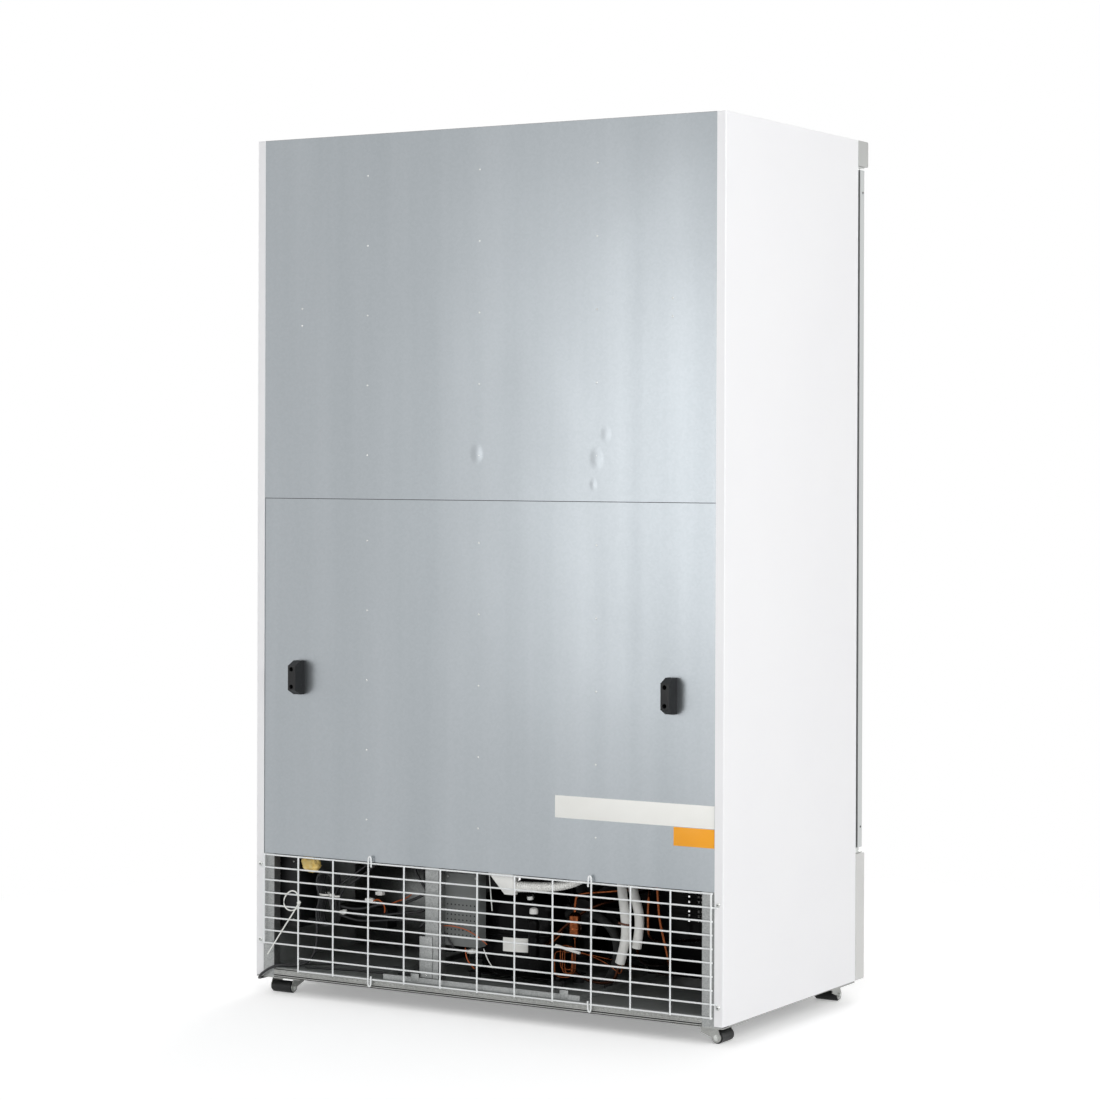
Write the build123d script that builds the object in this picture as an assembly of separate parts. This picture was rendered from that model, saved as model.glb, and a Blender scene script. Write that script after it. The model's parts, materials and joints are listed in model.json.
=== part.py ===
from build123d import *
from math import atan2, cos, degrees, radians, sin, tan
import os

# A two-door glass-front supermarket refrigerator on roller casters.
# Millimetres. +Z is up, the glass doors face -Y and the wire guard faces +Y.
# X runs to the right as seen from the doors, so the "left" pieces are at -X.
# The origin is on the floor, in the middle of the footprint.

# Cabinet shell
body_width = 1255.0
body_depth = 676.0
body_height = 1985.0
ground_clearance = 44.0
sheet = 1.0
rear_flange = 22.0
front_flange = 12.0
bend_radius = 3.0
deck_height = 291.0
seam_height = 1136.5
seam_lap = 12.0

# Insulated box
side_foam = 50.0
back_foam = 55.0
top_foam = 55.0
floor_foam = 60.0
liner_sheet = 1.0
front_sheet = 1.5
mullion_width = 50.0
mullion_depth = 40.0
seal_margin = 6.0

# Front mouldings
fascia_height = 60.0
fascia_depth = 53.0
plinth_height = 299.0
plinth_depth = 46.0
moulding_wall = 2.5
moulding_edge_radius = 4.0
louvre_pitch = 22.0
louvre_count = 9
louvre_thickness = 2.0
louvre_depth = 20.0
louvre_tilt = 35.0
louvre_first_height = 62.0
louvre_margin = 70.0
louvre_rib = 12.0

# Doors
door_gap_top = 8.0
door_gap_bottom = 14.0
door_side_inset = 3.5
door_centre_gap = 8.0
door_thickness = 26.0
door_edge_radius = 3.0
stile_width = 48.0
glass_thickness = 4.0
glass_gap = 10.0
glass_bite = 12.0
glass_play = 0.2
spacer_bar = 7.0
gasket_thickness = 15.5
gasket_width = 20.0
gasket_inset = 13.0
gasket_clearance = 0.5

# Door handles
handle_depth = 28.0
handle_width = 34.0
handle_wall = 4.0
handle_end_gap = 6.0
handle_lip_radius = 9.0
handle_edge_radius = 1.5

# Door hinges
hinge_pin_radius = 4.0
hinge_running_gap = 0.05
hinge_pin_reach = 15.0
hinge_inset = 12.0
hinge_leaf = 3.0
hinge_leaf_width = 28.0
hinge_leg_height = 34.0
hinge_cutout_gap = 1.5
hinge_bush_radius = 8.0
hinge_play = 0.6

# Rear frame and floor of the machine compartment
rail_below_body = 2.0
rail_height = 22.0
rail_depth = 30.0
rail_wall = 2.0
post_sheet = 1.2
corner_post_width = 51.5
corner_post_return = 24.0
centre_post_width = 36.0
centre_post_depth = 30.0
centre_post_x = 133.0
centre_post_gap = 5.0
floor_sheet = 1.2
gusset_thickness = 2.5
gusset_length = 126.0
wall_cavity = 25.0
wall_port = 26.0
wall_port_from_front = 208.0
wall_port_heights = (62.0, 188.0)
tray_width = 529.0
tray_front_gap = 60.0
tray_rear_gap = 4.0
tray_lip = 12.0
fit_gap = 0.5

# Wire guard over the compartment
wire = 4.0
wire_sides = 6
guard_column_pitch = 100.0
guard_columns = 12
guard_row_pitch = 30.0
guard_rows = 10
guard_first_row = 18.0
notch_columns = 1
notch_rows = 2
guard_tail = 13.0
hook_column = 3
hook_reach = 16.0
hook_width = 8.1
hook_leg = 24.0
screw_head_radius = 4.5
screw_head_height = 2.6
screw_sides = 12
screw_wire_gap = 0.2
screw_from_fold = 9.0

# Wall spacers on the back
spacer_x = 500.0
spacer_height = 713.5
spacer_width = 21.0
spacer_length = 80.0
spacer_reach = 37.0
spacer_straight = 15.0
spacer_face = 56.0
spacer_hole_pitch = 41.0
spacer_hole_radius = 5.3
spacer_hole_depth = 30.0
spacer_pilot_radius = 2.4
spacer_edge_radius = 1.5

# Casters
caster_side_inset = 54.0
caster_end_inset = 61.0
caster_plate = 58.0
caster_plate_thickness = 2.5
caster_race_radius = 16.0
caster_race_height = 3.6
caster_trail = 22.0
caster_play = 0.4
kingpin_radius = 5.0
kingpin_head_radius = 8.0
kingpin_head = 1.6
yoke_sheet = 2.0
roller_radius = 14.0
roller_length = 56.0
roller_side_play = 1.0
roller_edge_radius = 1.5
cheek_margin = 3.0
cheek_top_reach = 3.0
cheek_nose = 8.0
axle_radius = 3.0
axle_head_radius = 4.5
axle_head = 1.5
running_gap = 0.05

# Shelves and their supports
shelf_levels = 4
shelf_first_height = 300.0
shelf_pitch = 285.0
shelf_depth = 520.0
shelf_front_gap = 10.0
shelf_thickness = 6.0
shelf_border = 8.0
shelf_bar = 4.0
shelf_bar_pitch = 44.0
shelf_side_play = 3.0
upright_width = 22.0
upright_depth = 4.0
upright_end_gap = 60.0
upright_setback = 80.0
clip_height = 14.0
clip_width = 12.0
clip_reach = 24.0

# Lamps
lamp_width = 16.0
lamp_depth = 12.0
lamp_length = 1380.0
lamp_setback = 24.0

# Evaporator under the ceiling
evaporator_width = 960.0
evaporator_depth = 330.0
evaporator_height = 130.0
evaporator_sheet = 1.5
evaporator_slots = 5
evaporator_slot_height = 8.0
evaporator_fan_radius = 98.0
evaporator_fan_spacing = 470.0
fan_tip_gap = 5.0
coil_width = 800.0
coil_depth = 200.0
coil_height = 60.0
coil_fin_pitch = 32.0
coil_fin_thickness = 3.0
coil_fin_proud = 5.0

# Fans
fan_hub_radius = 30.0
fan_hub_height = 22.0
fan_blades = 5
fan_blade_chord = 62.0
fan_blade_thickness = 1.8
fan_blade_pitch = 28.0
fan_shaft_radius = 4.0
fan_shaft_reach = 14.0
fan_end_gap = 1.0
fan_motor_radius = 36.0
fan_motor_length = 44.0

# Condensing unit
compressor_x = -33.0
compressor_from_back = 158.0
compressor_length = 218.0
compressor_width = 178.0
compressor_height = 192.0
compressor_dome_radius = 42.0
compressor_bowl_radius = 22.0
dome_steps = 4
compressor_seam_height = 95.0
compressor_seam = 6.0
compressor_seam_proud = 3.5
compressor_foot_length = 250.0
compressor_foot_width = 120.0
compressor_foot = 3.0
mount_radius = 13.0
mount_height = 18.0
mount_neck_radius = 5.0
terminal_cover_size = 56.0
terminal_cover_depth = 34.0
condenser_width = 440.0
condenser_height = 230.0
condenser_thickness = 50.0
condenser_from_front = 76.0
condenser_fin_pitch = 22.0
condenser_fin_thickness = 2.0
condenser_fin_proud = 10.0
shroud_sheet = 1.5
shroud_gap = 8.0
shroud_ring_depth = 20.0
return_bends = 4
tube_diameter = 8.0
condenser_fan_radius = 104.0
motor_arm = 8.0
motor_arm_setback = 14.0
motor_bore_stop = 6.0
blade_motor_gap = 4.0
condenser_port_high = 214.0
condenser_port_middle = 84.0

# Filter drier and copper tubes
drier_x = -208.0
drier_from_back = 80.0
drier_height = 92.0
drier_radius = 14.0
drier_length = 45.0
drier_cone = 9.0
drier_sides = 16
tube_sides = 6
tube_bend = 14.0
bend_share = 0.45
liquid_tube_bend = 40.0
liquid_tube_diameter = 6.0
liquid_tube_x = -400.0
capillary_diameter = 3.0
capillary_turns = 4
capillary_half_width = 22.0
capillary_half_height = 42.0
capillary_drop = 18.0
capillary_pitch = 4.6
capillary_swell = 1.6
capillary_swell_step = 2.2
capillary_bend = 14.0
capillary_offset = 8.0

# Insulated tubes
sleeve_diameter = 24.0
sleeve_sides = 10
sleeve_bend = 60.0
hose_diameter = 20.0
hose_bend = 34.0

# Drain cup and its ribbed hose
cup_x = -54.0
cup_width = 68.0
cup_depth = 32.0
cup_height = 48.0
cup_foot_width = 28.0
cup_foot_depth = 20.0
cup_wall = 2.0
cup_from_back = 20.5
drain_outlet_x = -262.0
drain_outlet_radius = 12.0
drain_outlet_height = 24.0
ribbed_bore = 7.8
ribbed_root = 8.8
ribbed_crest = 10.4
rib_sides = 12
rib_pitch = 9.0
rib_root_share = 0.3
rib_rise_share = 0.15
rib_crest_share = 0.4
rib_count = 16
ribbed_end = 4.0

# Electrical boxes
terminal_box_width = 98.0
terminal_box_depth = 34.0
terminal_box_height = 168.0
terminal_box_drop = 14.0
terminal_box_lap = 8.0
control_box_width = 74.0
control_box_depth = 80.0
control_box_height = 166.0
control_box_drop = 12.0
control_box_from_back = 38.0
control_box_lid = 8.0
driver_box_width = 150.0
driver_box_depth = 100.0
driver_box_height = 50.0
driver_box_from_back = 298.0
driver_box_above_floor = 60.0
box_edge_radius = 3.0

# Mains lead
lead_diameter = 6.2
cord_sides = 6
lead_largest_bend = 600.0
gland_length = 30.0
gland_radius = 6.0
gland_tip_radius = 4.4
hank_turns = 5
hank_half_width = 22.0
hank_waist = 14.0
hank_half_height = 59.0
hank_pitch = 7.4
hank_swell = 2.4
hank_low_step = 2.1
hank_high_step = 1.3
hank_straight_end = 18.8
hank_largest_bend = 120.0
lead_exit_above_box_foot = 15.0
plug_radius = 17.0
plug_neck_radius = 6.5
plug_neck_length = 26.0
plug_body_length = 34.0
plug_pin_radius = 2.4
plug_pin_length = 19.0
plug_pin_pitch = 19.0
plug_above_ground = 0.6


# Planes that the pieces share, worked out from the sizes above

door_gap = gasket_thickness + gasket_clearance
front_reach = door_gap + door_thickness + handle_depth
overall_depth = body_depth + front_reach + spacer_reach
x_side = body_width / 2
y_front = -overall_depth / 2 + front_reach
y_back = y_front + body_depth
z_base = ground_clearance
z_top = z_base + body_height
z_deck = z_base + deck_height
x_skin = x_side - sheet
z_roof = z_top - sheet

y_upper_sheet = y_back - sheet
y_lower_sheet = y_upper_sheet - sheet
y_foam_back = y_lower_sheet - sheet
y_foam_front = y_front + front_sheet
x_box = x_skin - side_foam
y_box = y_foam_back - back_foam
z_box_low = z_deck + floor_foam
z_box_high = z_roof - top_foam
x_room = x_box - liner_sheet
y_room = y_box - liner_sheet
z_room_low = z_box_low + liner_sheet
z_room_high = z_box_high - liner_sheet

z_door_low = z_base + plinth_height + door_gap_bottom
z_door_high = z_top - fascia_height - door_gap_top
z_opening = z_door_high - gasket_inset - gasket_width - seal_margin
y_door_back = y_front - door_gap
y_door_front = y_door_back - door_thickness
x_door_out = x_side - door_side_inset
x_door_in = door_centre_gap / 2
x_hinge = x_door_out - hinge_inset
y_hinge = (y_door_back + y_door_front) / 2

z_rail_low = z_base - rail_below_body
z_rail_top = z_rail_low + rail_height
z_floor = z_rail_top + floor_sheet
z_tray = z_floor + floor_sheet
z_gusset = z_rail_low - gusset_thickness
z_caster_plate = z_gusset - caster_plate_thickness
z_race = z_caster_plate - caster_race_height
z_yoke_top = z_race - caster_play
z_yoke = z_yoke_top - yoke_sheet
axle_height = roller_radius
y_frame_back = y_back - sheet
y_frame_front = y_front + bend_radius
x_wall = x_skin - wall_cavity
x_post = x_skin - corner_post_width

z_evaporator = z_room_high - evaporator_height
y_evaporator = y_room - evaporator_depth
z_coil = z_room_high - coil_height
z_evaporator_hub = z_evaporator + evaporator_sheet

y_compressor = y_back - compressor_from_back
z_foot = z_tray + mount_height
z_shell = z_foot + compressor_foot
y_condenser = y_front + condenser_from_front
y_shroud = y_condenser + condenser_thickness + shroud_gap
y_rotor = y_shroud + fan_tip_gap
y_motor = y_rotor + fan_hub_height + fan_end_gap
z_condenser_axis = z_tray + condenser_height / 2
x_port = -condenser_width / 2
y_port_line = y_condenser + condenser_thickness / 2

y_drier = y_back - drier_from_back
z_drier = z_deck - drier_height
x_control = x_wall - control_box_width
y_control = y_back - control_box_from_back
z_control = z_deck - control_box_drop - control_box_height
x_hank = x_control - gland_length - 3 * lead_diameter - hank_half_width
y_hank = y_control - control_box_depth / 2 + hank_pitch
z_hank = z_control + lead_exit_above_box_foot + hank_half_height


def block(x_low, x_high, y_low, y_high, z_low, z_high):
    """A box between two coordinates on each axis."""
    size = Box(x_high - x_low, y_high - y_low, z_high - z_low)
    return Pos((x_low + x_high) / 2, (y_low + y_high) / 2, (z_low + z_high) / 2) * size


def both_sides(solid):
    """The solid and its mirror image across the cabinet's middle."""
    return [solid, mirror(solid, about=Plane.YZ)]


def rod(start, end, radius):
    """A round bar between two points."""
    line = Line(start, end)
    return sweep(Plane(origin=line @ 0, z_dir=line % 0) * Circle(radius), path=line)


def section_on(path, radius, sides):
    """A many-sided section square to a path's start, its corners on the radius."""
    return Plane(origin=path @ 0, z_dir=path % 0) * RegularPolygon(radius, sides)


def bar(start, end, radius, sides):
    """A many-sided bar between two points."""
    line = Line(start, end)
    return sweep(section_on(line, radius, sides), path=line)


def route_bends(points, largest):
    """Bend radii of a route, each as large as its two runs allow, up to the largest."""
    bends = []
    for before, at, after in zip(points, points[1:], points[2:]):
        incoming = Vector(*at) - Vector(*before)
        outgoing = Vector(*after) - Vector(*at)
        half_turn = radians(incoming.get_angle(outgoing)) / 2
        shorter = min(incoming.length, outgoing.length)
        bends.append(min(largest, bend_share * shorter / tan(half_turn)))
    return bends


def tube(points, diameter, largest_bend, sides=tube_sides):
    """A tube of many-sided section along straight runs joined by tangent bends."""
    path = FilletPolyline(*points, radius=route_bends(points, largest_bend))
    return sweep(section_on(path, diameter / 2, sides), path=path)


def drilled(solid, centre, direction, radius, depth):
    """The solid with a round hole from centre along direction."""
    start = Vector(*centre)
    return solid - rod(start, start + Vector(*direction) * depth, radius)


def save(node, solids):
    """Write one node's solids to its STEP file."""
    pieces = [piece for solid in solids for piece in solid.solids()]
    shape = pieces[0] if len(pieces) == 1 else Compound(children=pieces)
    export_step(shape, f"parts/{node}.step")
    print(f"{node}: {len(pieces)} solids")


def side_panel():
    """White side sheet, folded round the back and the front edge."""
    outer = block(x_side - rear_flange, x_side, y_front, y_back, z_base, z_top)
    inner = block(0, x_skin, y_front + sheet, y_back - sheet, z_base, z_top)
    front_trim = block(0, x_side - front_flange, y_front - 1, y_front + sheet + 1, z_base, z_top)
    folds = outer.edges().filter_by(Axis.Z).sort_by(Axis.X)[-2:]
    inner_folds = inner.edges().filter_by(Axis.Z).sort_by(Axis.X)[-2:]
    return fillet(folds, bend_radius) - fillet(inner_folds, bend_radius - sheet) - front_trim


def back_panels():
    """Upper and lower galvanised sheets, lapped at the seam."""
    seam = z_base + seam_height
    width = x_skin - (bend_radius - sheet)
    upper = block(-width, width, y_upper_sheet - sheet, y_upper_sheet, seam, z_roof)
    lower = block(-width, width, y_lower_sheet - sheet, y_lower_sheet, z_deck, seam + seam_lap)
    return upper, lower


def top_panel():
    """Top sheet between the side panels."""
    inner = x_skin - (bend_radius - sheet)
    wide = block(-x_skin, x_skin, y_front + bend_radius, y_back - bend_radius, z_roof, z_top)
    long = block(-inner, inner, y_front + sheet, y_frame_back, z_roof, z_top)
    edge = x_side - front_flange
    return wide + long + block(-edge, edge, y_front, y_front + bend_radius, z_roof, z_top)


def insulation():
    """Foam slabs: two sides, back, top and floor."""
    side = block(x_box, x_skin, y_foam_front, y_foam_back, z_deck, z_roof)
    back = block(-x_box, x_box, y_box, y_foam_back, z_deck, z_roof)
    top = block(-x_box, x_box, y_foam_front, y_box, z_box_high, z_roof)
    floor = block(-x_box, x_box, y_foam_front, y_box, z_deck, z_box_low)
    corner = bend_radius - sheet
    relief = block(x_skin - corner, x_skin, y_foam_front, y_front + bend_radius, z_deck, z_roof)
    return both_sides(side - relief) + [back, top, floor]


def liner():
    """White inner lining, open to the doors."""
    skin = block(-x_box, x_box, y_foam_front, y_box, z_box_low, z_box_high)
    room = block(-x_room, x_room, y_foam_front, y_room, z_room_low, z_room_high)
    return skin - room


def front_frame():
    """Head, sill, jambs and centre mullion that the door seals close on."""
    edge = x_side - front_flange
    head = block(-edge, edge, y_front, y_foam_front, z_opening, z_roof)
    head += block(-x_room, x_room, y_foam_front, y_front + mullion_depth, z_opening, z_room_high)
    sill = block(-edge, edge, y_front, y_foam_front, z_deck, z_room_low)
    jamb = block(x_room, edge, y_front, y_foam_front, z_room_low, z_opening)
    half = mullion_width / 2
    mullion = block(-half, half, y_front, y_front + mullion_depth, z_room_low, z_opening)
    rear_edges = mullion.edges().filter_by(Axis.Z).sort_by(Axis.Y)[-2:]
    return [head, sill, fillet(rear_edges, moulding_edge_radius)] + both_sides(jamb)


def hinge_pocket(z_low, z_high):
    """Room in a moulding for the upright leg of a hinge bracket."""
    half = hinge_leaf_width / 2 + hinge_cutout_gap
    depth = hinge_leaf + hinge_cutout_gap
    return block(x_hinge - half, x_side - moulding_wall, y_front - depth, y_front, z_low, z_high)


def top_fascia():
    """Hollow moulding across the top of the doors."""
    z_low = z_top - fascia_height
    outer = block(-x_side, x_side, y_front - fascia_depth, y_front, z_low, z_top)
    outer = fillet(outer.edges().filter_by(Axis.X).sort_by(Axis.Y)[:2], moulding_edge_radius)
    wall = moulding_wall
    inner = block(
        -x_side + wall, x_side - wall, y_front - fascia_depth + wall, y_front, z_low + wall, z_top - wall
    )
    shell = outer - inner
    for pocket in both_sides(hinge_pocket(z_low, z_low + wall)):
        shell -= pocket
    return shell


def plinth_grille():
    """Hollow kick plate with a louvred air intake."""
    wall = moulding_wall
    y_low = y_front - plinth_depth
    z_high = z_base + plinth_height
    outer = block(-x_side, x_side, y_low, y_front, z_base, z_high)
    outer = fillet(outer.edges().filter_by(Axis.X).sort_by(Axis.Y)[:2], moulding_edge_radius)
    inner = block(-x_side + wall, x_side - wall, y_low + wall, y_front, z_base + wall, z_high - wall)
    shell = outer - inner
    half = x_side - louvre_margin
    z_first = z_base + louvre_first_height
    z_last = z_first + (louvre_count - 1) * louvre_pitch
    z_window_low = z_first - louvre_pitch / 2
    z_window_high = z_last + louvre_pitch / 2
    bay = (2 * half - 2 * louvre_rib) / 3
    for index in range(3):
        x_low = -half + index * (bay + louvre_rib)
        shell -= block(x_low, x_low + bay, y_low - 1, y_low + wall, z_window_low, z_window_high)
    blade_run = louvre_depth * cos(radians(louvre_tilt))
    for index in range(louvre_count):
        centre = (0, y_low + blade_run / 2 + wall / 2, z_first + index * louvre_pitch)
        blade = Box(2 * half + 2 * wall, louvre_depth, louvre_thickness)
        shell += Pos(*centre) * Rot(X=louvre_tilt) * blade
    front_face = block(-x_side, x_side, y_low - louvre_depth, y_low, z_base, z_high)
    shell -= front_face
    for pocket in both_sides(hinge_pocket(z_high - wall, z_high)):
        shell -= pocket
    return shell


def door_frame():
    """Aluminium stiles and rails with the glazing groove, and the spacer bar between the panes."""
    groove = 2 * glass_thickness + glass_gap + 2 * glass_play
    y_groove_low = (y_door_back + y_door_front - groove) / 2
    y_groove_high = y_groove_low + groove
    x_in = x_door_in + stile_width - glass_bite
    x_out = x_door_out - stile_width + glass_bite
    z_low = z_door_low + stile_width - glass_bite
    z_high = z_door_high - stile_width + glass_bite
    glazing = block(x_in, x_out, y_groove_low, y_groove_high, z_low, z_high)
    members = []
    for x_low, x_high in ((x_door_in, x_door_in + stile_width), (x_door_out - stile_width, x_door_out)):
        stile = block(x_low, x_high, y_door_front, y_door_back, z_door_low, z_door_high)
        front_edges = stile.edges().filter_by(Axis.Z).sort_by(Axis.Y)[:2]
        members.append(fillet(front_edges, door_edge_radius) - glazing)
    hinge_stile = members[1]
    for z_start, way in ((z_door_low, 1), (z_door_high, -1)):
        centre = (x_hinge, y_hinge, z_start)
        bore = hinge_pin_radius + hinge_running_gap
        hinge_stile = drilled(hinge_stile, centre, (0, 0, way), bore, hinge_pin_reach + 2)
    members[1] = hinge_stile
    for z_start, z_end in ((z_door_low, z_door_low + stile_width), (z_door_high - stile_width, z_door_high)):
        rail = block(
            x_door_in + stile_width, x_door_out - stile_width, y_door_front, y_door_back, z_start, z_end
        )
        front_edges = rail.edges().filter_by(Axis.X).sort_by(Axis.Y)[:2]
        members.append(fillet(front_edges, door_edge_radius) - glazing)
    y_bar = (y_door_back + y_door_front) / 2
    y_bar_low = y_bar - glass_gap / 2
    y_bar_high = y_bar + glass_gap / 2
    play = glass_play
    ring = block(x_in + play, x_out - play, y_bar_low, y_bar_high, z_low + play, z_high - play)
    inset = play + spacer_bar
    ring -= block(x_in + inset, x_out - inset, y_bar_low, y_bar_high, z_low + inset, z_high - inset)
    return members + [ring]


def door_glass():
    """Two panes of toughened glass."""
    x_low = x_door_in + stile_width - glass_bite + glass_play
    x_high = x_door_out - stile_width + glass_bite - glass_play
    z_low = z_door_low + stile_width - glass_bite + glass_play
    z_high = z_door_high - stile_width + glass_bite - glass_play
    y_middle = (y_door_back + y_door_front) / 2
    y_inner = y_middle + glass_gap / 2
    y_outer = y_middle - glass_gap / 2
    inner = block(x_low, x_high, y_inner, y_inner + glass_thickness, z_low, z_high)
    outer = block(x_low, x_high, y_outer - glass_thickness, y_outer, z_low, z_high)
    return [inner, outer]


def door_gasket():
    """Magnetic seal round the back of the door."""
    x_low = x_door_in + gasket_inset
    x_high = x_door_out - gasket_inset
    z_low = z_door_low + gasket_inset
    z_high = z_door_high - gasket_inset
    y_high = y_door_back + gasket_thickness
    width = gasket_width
    ring = block(x_low, x_high, y_door_back, y_high, z_low, z_high)
    ring -= block(x_low + width, x_high - width, y_door_back, y_high, z_low + width, z_high - width)
    step = gasket_width / 4
    y_waist_low = y_door_back + gasket_thickness / 3
    y_waist_high = y_door_back + 2 * gasket_thickness / 3
    waist = block(x_low, x_high, y_waist_low, y_waist_high, z_low, z_high)
    waist -= block(x_low + step, x_high - step, y_waist_low, y_waist_high, z_low + step, z_high - step)
    return ring - waist


def door_handle():
    """Full-height grip profile with a curled lip, open towards the hinge side."""
    z_low = z_door_low + handle_end_gap
    height = z_door_high - z_door_low - 2 * handle_end_gap
    x_low = x_door_in + door_edge_radius
    x_high = x_low + handle_width
    y_out = y_door_front - handle_depth
    wall = handle_wall
    outline = Polyline(
        (x_low, y_door_front),
        (x_high, y_door_front),
        (x_high, y_door_front - wall),
        (x_low + wall, y_door_front - wall),
        (x_low + wall, y_out + wall),
        (x_high - handle_lip_radius, y_out + wall),
        (x_high - wall, y_out + handle_lip_radius),
        (x_high, y_out + handle_lip_radius),
        (x_high - handle_lip_radius / 2, y_out),
        (x_low, y_out),
        close=True,
    )
    bar = extrude(Pos(0, 0, z_low) * make_face(outline), amount=height)
    outer_edges = bar.edges().filter_by(Axis.Z).sort_by(Axis.Y)[:2]
    return fillet(outer_edges, handle_edge_radius)


def hinge_brackets():
    """Top and bottom brackets of the right-hand door, each with its pin."""
    half = hinge_leaf_width / 2
    x_low = x_hinge - half
    x_high = min(x_hinge + half, x_side - moulding_wall - hinge_cutout_gap)
    y_reach = y_hinge - hinge_bush_radius - hinge_leaf
    z_fascia = z_top - fascia_height
    z_plinth = z_base + plinth_height
    top_leaf_high = z_fascia - hinge_play
    top_leaf_low = top_leaf_high - hinge_leaf
    top = block(x_low, x_high, y_reach, y_front, top_leaf_low, top_leaf_high)
    top += block(x_low, x_high, y_front - hinge_leaf, y_front, top_leaf_low, z_fascia + hinge_leg_height)
    top += rod(
        (x_hinge, y_hinge, top_leaf_low), (x_hinge, y_hinge, z_door_high - hinge_pin_reach), hinge_pin_radius
    )
    low_leaf_low = z_plinth + hinge_play
    low_leaf_high = low_leaf_low + hinge_leaf
    low = block(x_low, x_high, y_reach, y_front, low_leaf_low, low_leaf_high)
    low += block(x_low, x_high, y_front - hinge_leaf, y_front, z_plinth - hinge_leg_height, low_leaf_high)
    low += rod(
        (x_hinge, y_hinge, low_leaf_high), (x_hinge, y_hinge, z_door_low + hinge_pin_reach), hinge_pin_radius
    )
    low += rod(
        (x_hinge, y_hinge, low_leaf_high), (x_hinge, y_hinge, z_door_low - hinge_play), hinge_bush_radius
    )
    return [top, low]


def channel(x_low, x_high, y_web, way):
    """Rolled channel along X with its web at y_web and its flanges pointing way along Y."""
    y_tip = y_web + way * rail_depth
    y_inner = y_web + way * rail_wall
    rail = block(x_low, x_high, min(y_web, y_tip), max(y_web, y_tip), z_rail_low, z_rail_top)
    z_low = z_rail_low + rail_wall
    z_high = z_rail_top - rail_wall
    rail -= block(x_low, x_high, min(y_inner, y_tip), max(y_inner, y_tip), z_low, z_high)
    web_edges = rail.edges().filter_by(Axis.X).sort_by(Axis.Y)
    outer = web_edges[-2:] if way < 0 else web_edges[:2]
    return fillet(outer, rail_wall)


def base_frame():
    """Rear, front and side channels with a gusset plate at each corner."""
    rear = channel(-x_post, x_post, y_frame_back, -1)
    front = channel(-x_skin, x_skin, y_frame_front, 1)
    y_low = y_frame_front + rail_depth
    y_high = y_frame_back - rail_depth
    side = block(x_skin - rail_depth, x_skin, y_low, y_high, z_rail_low, z_rail_top)
    side -= block(
        x_skin - rail_depth, x_skin - rail_wall, y_low, y_high, z_rail_low + rail_wall, z_rail_top - rail_wall
    )
    x_inner = x_skin - gusset_length
    rear_gusset = block(x_inner, x_skin, y_frame_back - gusset_length, y_frame_back, z_gusset, z_rail_low)
    front_gusset = block(x_inner, x_skin, y_frame_front, y_frame_front + gusset_length, z_gusset, z_rail_low)
    return [rear, front] + both_sides(side) + both_sides(rear_gusset) + both_sides(front_gusset)


def base_floor():
    """Galvanised floor of the compartment and the lipped tray that carries the condensing unit."""
    floor = block(-x_skin, x_skin, y_frame_front, y_frame_back, z_rail_top, z_floor)
    notch = block(
        x_post - fit_gap, x_skin, y_frame_back - corner_post_return - fit_gap, y_frame_back, z_rail_top, z_floor
    )
    for corner in both_sides(notch):
        floor -= corner
    half = tray_width / 2
    y_low = y_frame_front + tray_front_gap
    y_high = y_frame_back - tray_rear_gap
    tray = block(-half, half, y_low, y_high, z_floor, z_floor + tray_lip)
    wall = floor_sheet
    tray -= block(-half + wall, half - wall, y_low + wall, y_high - wall, z_tray, z_floor + tray_lip)
    return [floor, tray]


def rear_posts():
    """Corner angles at both ends of the guard and the channel post beside the compressor."""
    y_high = y_frame_back
    x_fold = x_skin - (bend_radius - sheet)
    angle = block(x_post, x_fold, y_high - post_sheet, y_high, z_rail_low, z_deck)
    angle += block(x_post, x_post + post_sheet, y_high - corner_post_return, y_high, z_rail_low, z_deck)
    y_post = y_frame_back - tray_rear_gap - centre_post_gap
    x_low = centre_post_x - centre_post_width / 2
    x_high = centre_post_x + centre_post_width / 2
    post = block(x_low, x_high, y_post - centre_post_depth, y_post, z_tray, z_deck)
    post -= block(
        x_low + post_sheet, x_high - post_sheet, y_post - centre_post_depth, y_post - post_sheet, z_tray, z_deck
    )
    return both_sides(angle) + [post]


def compartment_walls():
    """Galvanised inner side walls; the one at +X has two square cable ports."""
    y_low = y_frame_front
    y_high = y_frame_back - corner_post_return - fit_gap
    wall = block(x_wall, x_wall + sheet, y_low, y_high, z_floor, z_deck)
    ported = wall
    y_port = y_front + wall_port_from_front
    half = wall_port / 2
    for port_height in wall_port_heights:
        z_port = z_base + port_height
        ported -= block(x_wall, x_wall + sheet, y_port - half, y_port + half, z_port - half, z_port + half)
    return [ported, mirror(wall, about=Plane.YZ)]


def wire_on(path):
    """A welded wire along a path in the guard's plane, with a flat side towards +Y and -Y."""
    along = path % 0
    plane = Plane(origin=path @ 0, x_dir=Vector(0, 1, 0).cross(along), z_dir=along)
    return sweep(plane * RegularPolygon(wire / 2, wire_sides, major_radius=False), path=path)


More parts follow.
